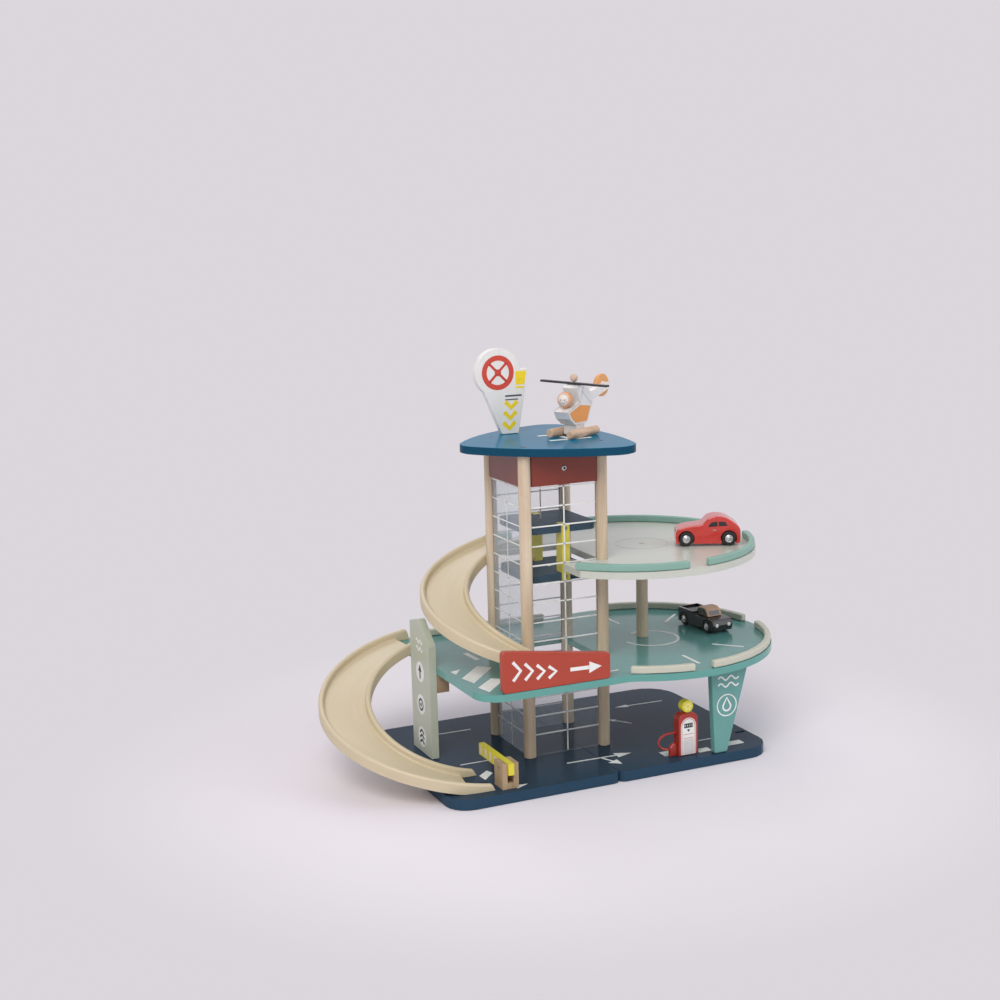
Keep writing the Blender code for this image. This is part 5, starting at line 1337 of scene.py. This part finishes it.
coupe = car_frame("coupe")
body = piece("coupe_body_rounded", [placed(made, *coupe) for made in shells], "coupe",
             boards["coupe_body"].data.materials[0], 50)
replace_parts(body, "coupe_body")

# %% [markdown]
# ## Windows, lamps and planks
# The red car has black side windows, bright handles and pale lamps. The pickup has a
# windscreen and side windows in its wooden cab, lamps, and a bed of grey planks. Windows
# could be cut into the bodies, but on the toy they are paint on solid wood. So they are
# patches on the sides, and the lamps are low domes.

# %% Windows, handles and lamps of the red car
LAMP_SUNK = 0.0012
glass_black = painted("window_black", "1F1D20", "x", 0.15, 0.6)


def lamps(car, place, tilt, radius):
    """Two painted lamps at a (forward, aside, up) place of a car and across from it: low
    domes turned from (radius, height) points, about an axis tilted up a little."""
    middle, forward, aside = car
    profile = [(0, 0.0006), (radius * 0.6, 0.0005), (radius, 0.0001), (radius, -LAMP_SUNK),
               (0, -LAMP_SUNK)]
    return [turned_about(profile, middle + forward * place[0] + aside * side * place[1]
                         + Z * place[2], forward + tilt * Z, 20) for side in (1, -1)]


front_window = np.array([(-0.2, 23.0), (-4.6, 28.4), (-11.4, 29.2), (-11.6, 23.4)])
rear_window = np.array([(-12.9, 23.4), (-12.7, 29.2), (-20.6, 28.6), (-23.4, 23.9)])
handle = np.array([(-9.8, 19.0), (-6.0, 19.0)])
sides = both_sides(*coupe, COUPE_HALF / 1000)
piece("coupe_windows", [patch(face, window * flip) for face, flip in sides
                        for window in (front_window, rear_window)], "coupe", glass_black)
piece("coupe_lamps", lamps(coupe, (0.0368, 0.0092, 0.0150), 0.15, 0.0024), "coupe",
      ink("lamp_ink", "F2F0E8", 0.2))
piece("coupe_handles", [stripe(face, handle * flip, 1.2, 0.0004) for face, flip in sides],
      "coupe", silver)

# %% Windows, lamps and planks of the pickup
CAB_HALF, PLANK_THICK = 0.0105, 0.0008
door_window = np.array([(18.2, 18.6), (14.6, 25.2), (11.8, 26.6), (8.6, 26.6), (8.6, 18.6)])
back_window = np.array([(7.4, 18.6), (7.4, 26.6), (1.0, 26.6), (-1.4, 25.2), (-2.8, 18.6)])
pickup = car_frame("pickup")
windows = [patch(face, window * flip) for face, flip in both_sides(*pickup, CAB_HALF)
           for window in (door_window, back_window)]
middle, forward, aside = pickup
slope = unit(Z * 8.2 - forward * 4.5)
screen = Face(middle + forward * 0.0205 + Z * 0.0178, aside, slope)
windows.append(patch(screen, soft_box((0, 4.7), (15.0, 5.6), 1.2)))
piece("pickup_windows", windows, "pickup", glass_black)
piece("pickup_lamps", lamps(pickup, (0.0364, 0.0088, 0.0105), 0.1, 0.0022), "pickup",
      ink("pickup_lamp_ink", "F2F0E8", 0.2))
bed_floor = Face(middle + Z * 0.0176, forward, aside)
planks = [patch(bed_floor, soft_box((-18.4, across), (22.5, 5.0), 0.4), PLANK_THICK)
          for across in (-8.4, -2.8, 2.8, 8.4)]
piece("pickup_planks", planks, "pickup", bare("plank_grey", "8E8E90", "747477", "x"))

# %% [markdown]
# ## Floor
# The toy stands on a pale sweep of paper that rises behind it. A white floor under more
# light would burn out near the lamps, so the paper is pale grey, and away from the toy it
# gives way to an even tone. Only rays that the camera sees, straight or in a gloss or
# through a panel, meet that tone, so it lights nothing. Near the toy the paper stays
# paper, and the toy's shadow lies on it.

# %% Paper sweep
EVEN_TONE = "DBD6DC"
FADE_FROM, FADE_TO = 0.26, 0.62
FLOOR_GAP = 0.0004


def sweep(width, depth, height, bend):
    """A studio sweep: flat floor, a quarter circle, then a wall. Its (y, z) points are
    depth - bend + bend * sin t and bend - bend * cos t, stretched over the width."""
    t = np.linspace(0, np.pi / 2, 16)
    curve = np.column_stack([depth - bend + bend * np.sin(t), bend - bend * np.cos(t)])
    line = np.concatenate([[(-depth, 0.0)], curve, [(depth, height)]])
    grid = np.stack([np.insert(line, 0, x, axis=1) for x in (-width, width)])
    return shell(grid, ring=False, caps=False)


def seen_rays(tree):
    """An output that is 1 for camera, glossy and transmission rays and 0 for the others."""
    rays = add_node(tree, "LightPath").outputs
    seen = rays["Is Camera Ray"]
    for kind in ("Is Glossy Ray", "Is Transmission Ray"):
        seen = add_node(tree, "Math", {0: seen, 1: rays[kind]}, operation="MAXIMUM").outputs[0]
    return seen


paper = Finish("paper", 0.9)
shade = paper.noise((3.0, 3.0, 3.0))
paper.give({"Base Color": paper.ramp(shade, 0.3, 0.7, rgb("E8E3E9"), rgb("ECE7ED"))})
flat = paper.add("Emission", {"Color": rgb(EVEN_TONE)})
away = paper.add("VectorMath", {0: paper.place}, operation="LENGTH")
fade = paper.add("MapRange", {"Value": away.outputs["Value"], "From Min": FADE_FROM,
                              "From Max": FADE_TO}, interpolation_type="SMOOTHSTEP")
share = paper.add("Math", {0: seen_rays(paper.tree), 1: fade.outputs["Result"]},
                  operation="MULTIPLY")
blend = paper.add("MixShader", {0: share.outputs[0], 1: paper.shader.outputs[0],
                                2: flat.outputs[0]})
feed(paper.tree, paper.tree.nodes["Material Output"], {"Surface": blend.outputs[0]})

points, faces = sweep(6.0, 4.0, 5.0, 1.2)
mesh = bpy.data.meshes.new("floor")
mesh.from_pydata((points - FLOOR_GAP * Z).tolist(), [], faces)
mesh.shade_smooth()
mesh.materials.append(paper.material)
floor = shown("floor", mesh)
print("floor:", len(mesh.polygons), "faces, even tone from", FADE_TO, "m")

# %% [markdown]
# ## Light
# The picture has soft light from the upper left and no hard shadow. One lamp would leave
# the right side dark, so a weaker one stands there and a third behind. All are large
# squares, whose shadows are soft, and a pale world fills what they miss.

# %% Lamps and world
AIM = (0, 0, 0.2)


def lamp_at(name, place, size, power, colour):
    """A square area lamp whose back direction points away from where it aims."""
    light = bpy.data.lights.new(name, "AREA")
    light.size = size
    light.energy = power
    light.color = colour
    made = shown(name, light)
    back = unit(np.array(place) - AIM)
    aside = unit(np.cross(Z, back))
    made.matrix_world = pose_of(aside, np.cross(back, aside), back, place)
    print(name, "lamp:", power, "W at", place)


lamp_at("key", (-1.4, -1.6, 2.2), 1.6, 46, (1.0, 0.98, 0.95))
lamp_at("fill", (1.9, -1.2, 1.3), 1.8, 16, (0.95, 0.97, 1.0))
lamp_at("back", (0.3, 2.0, 2.0), 1.6, 12, (1.0, 1.0, 1.0))
world = bpy.data.worlds.new("studio")
bpy.context.scene.world = world
world.use_nodes = True
tree = world.node_tree
sky = feed(tree, tree.nodes["Background"], {"Color": rgb("E6E3E8"), "Strength": 0.62})
tone = add_node(tree, "Background", {"Color": rgb(EVEN_TONE), "Strength": 1.0})
either = add_node(tree, "MixShader", {0: seen_rays(tree), 1: sky.outputs[0],
                                      2: tone.outputs[0]})
feed(tree, tree.nodes["World Output"], {"Surface": either.outputs[0]})

# %% [markdown]
# The dressed toy has to stay inside the packed model's box.
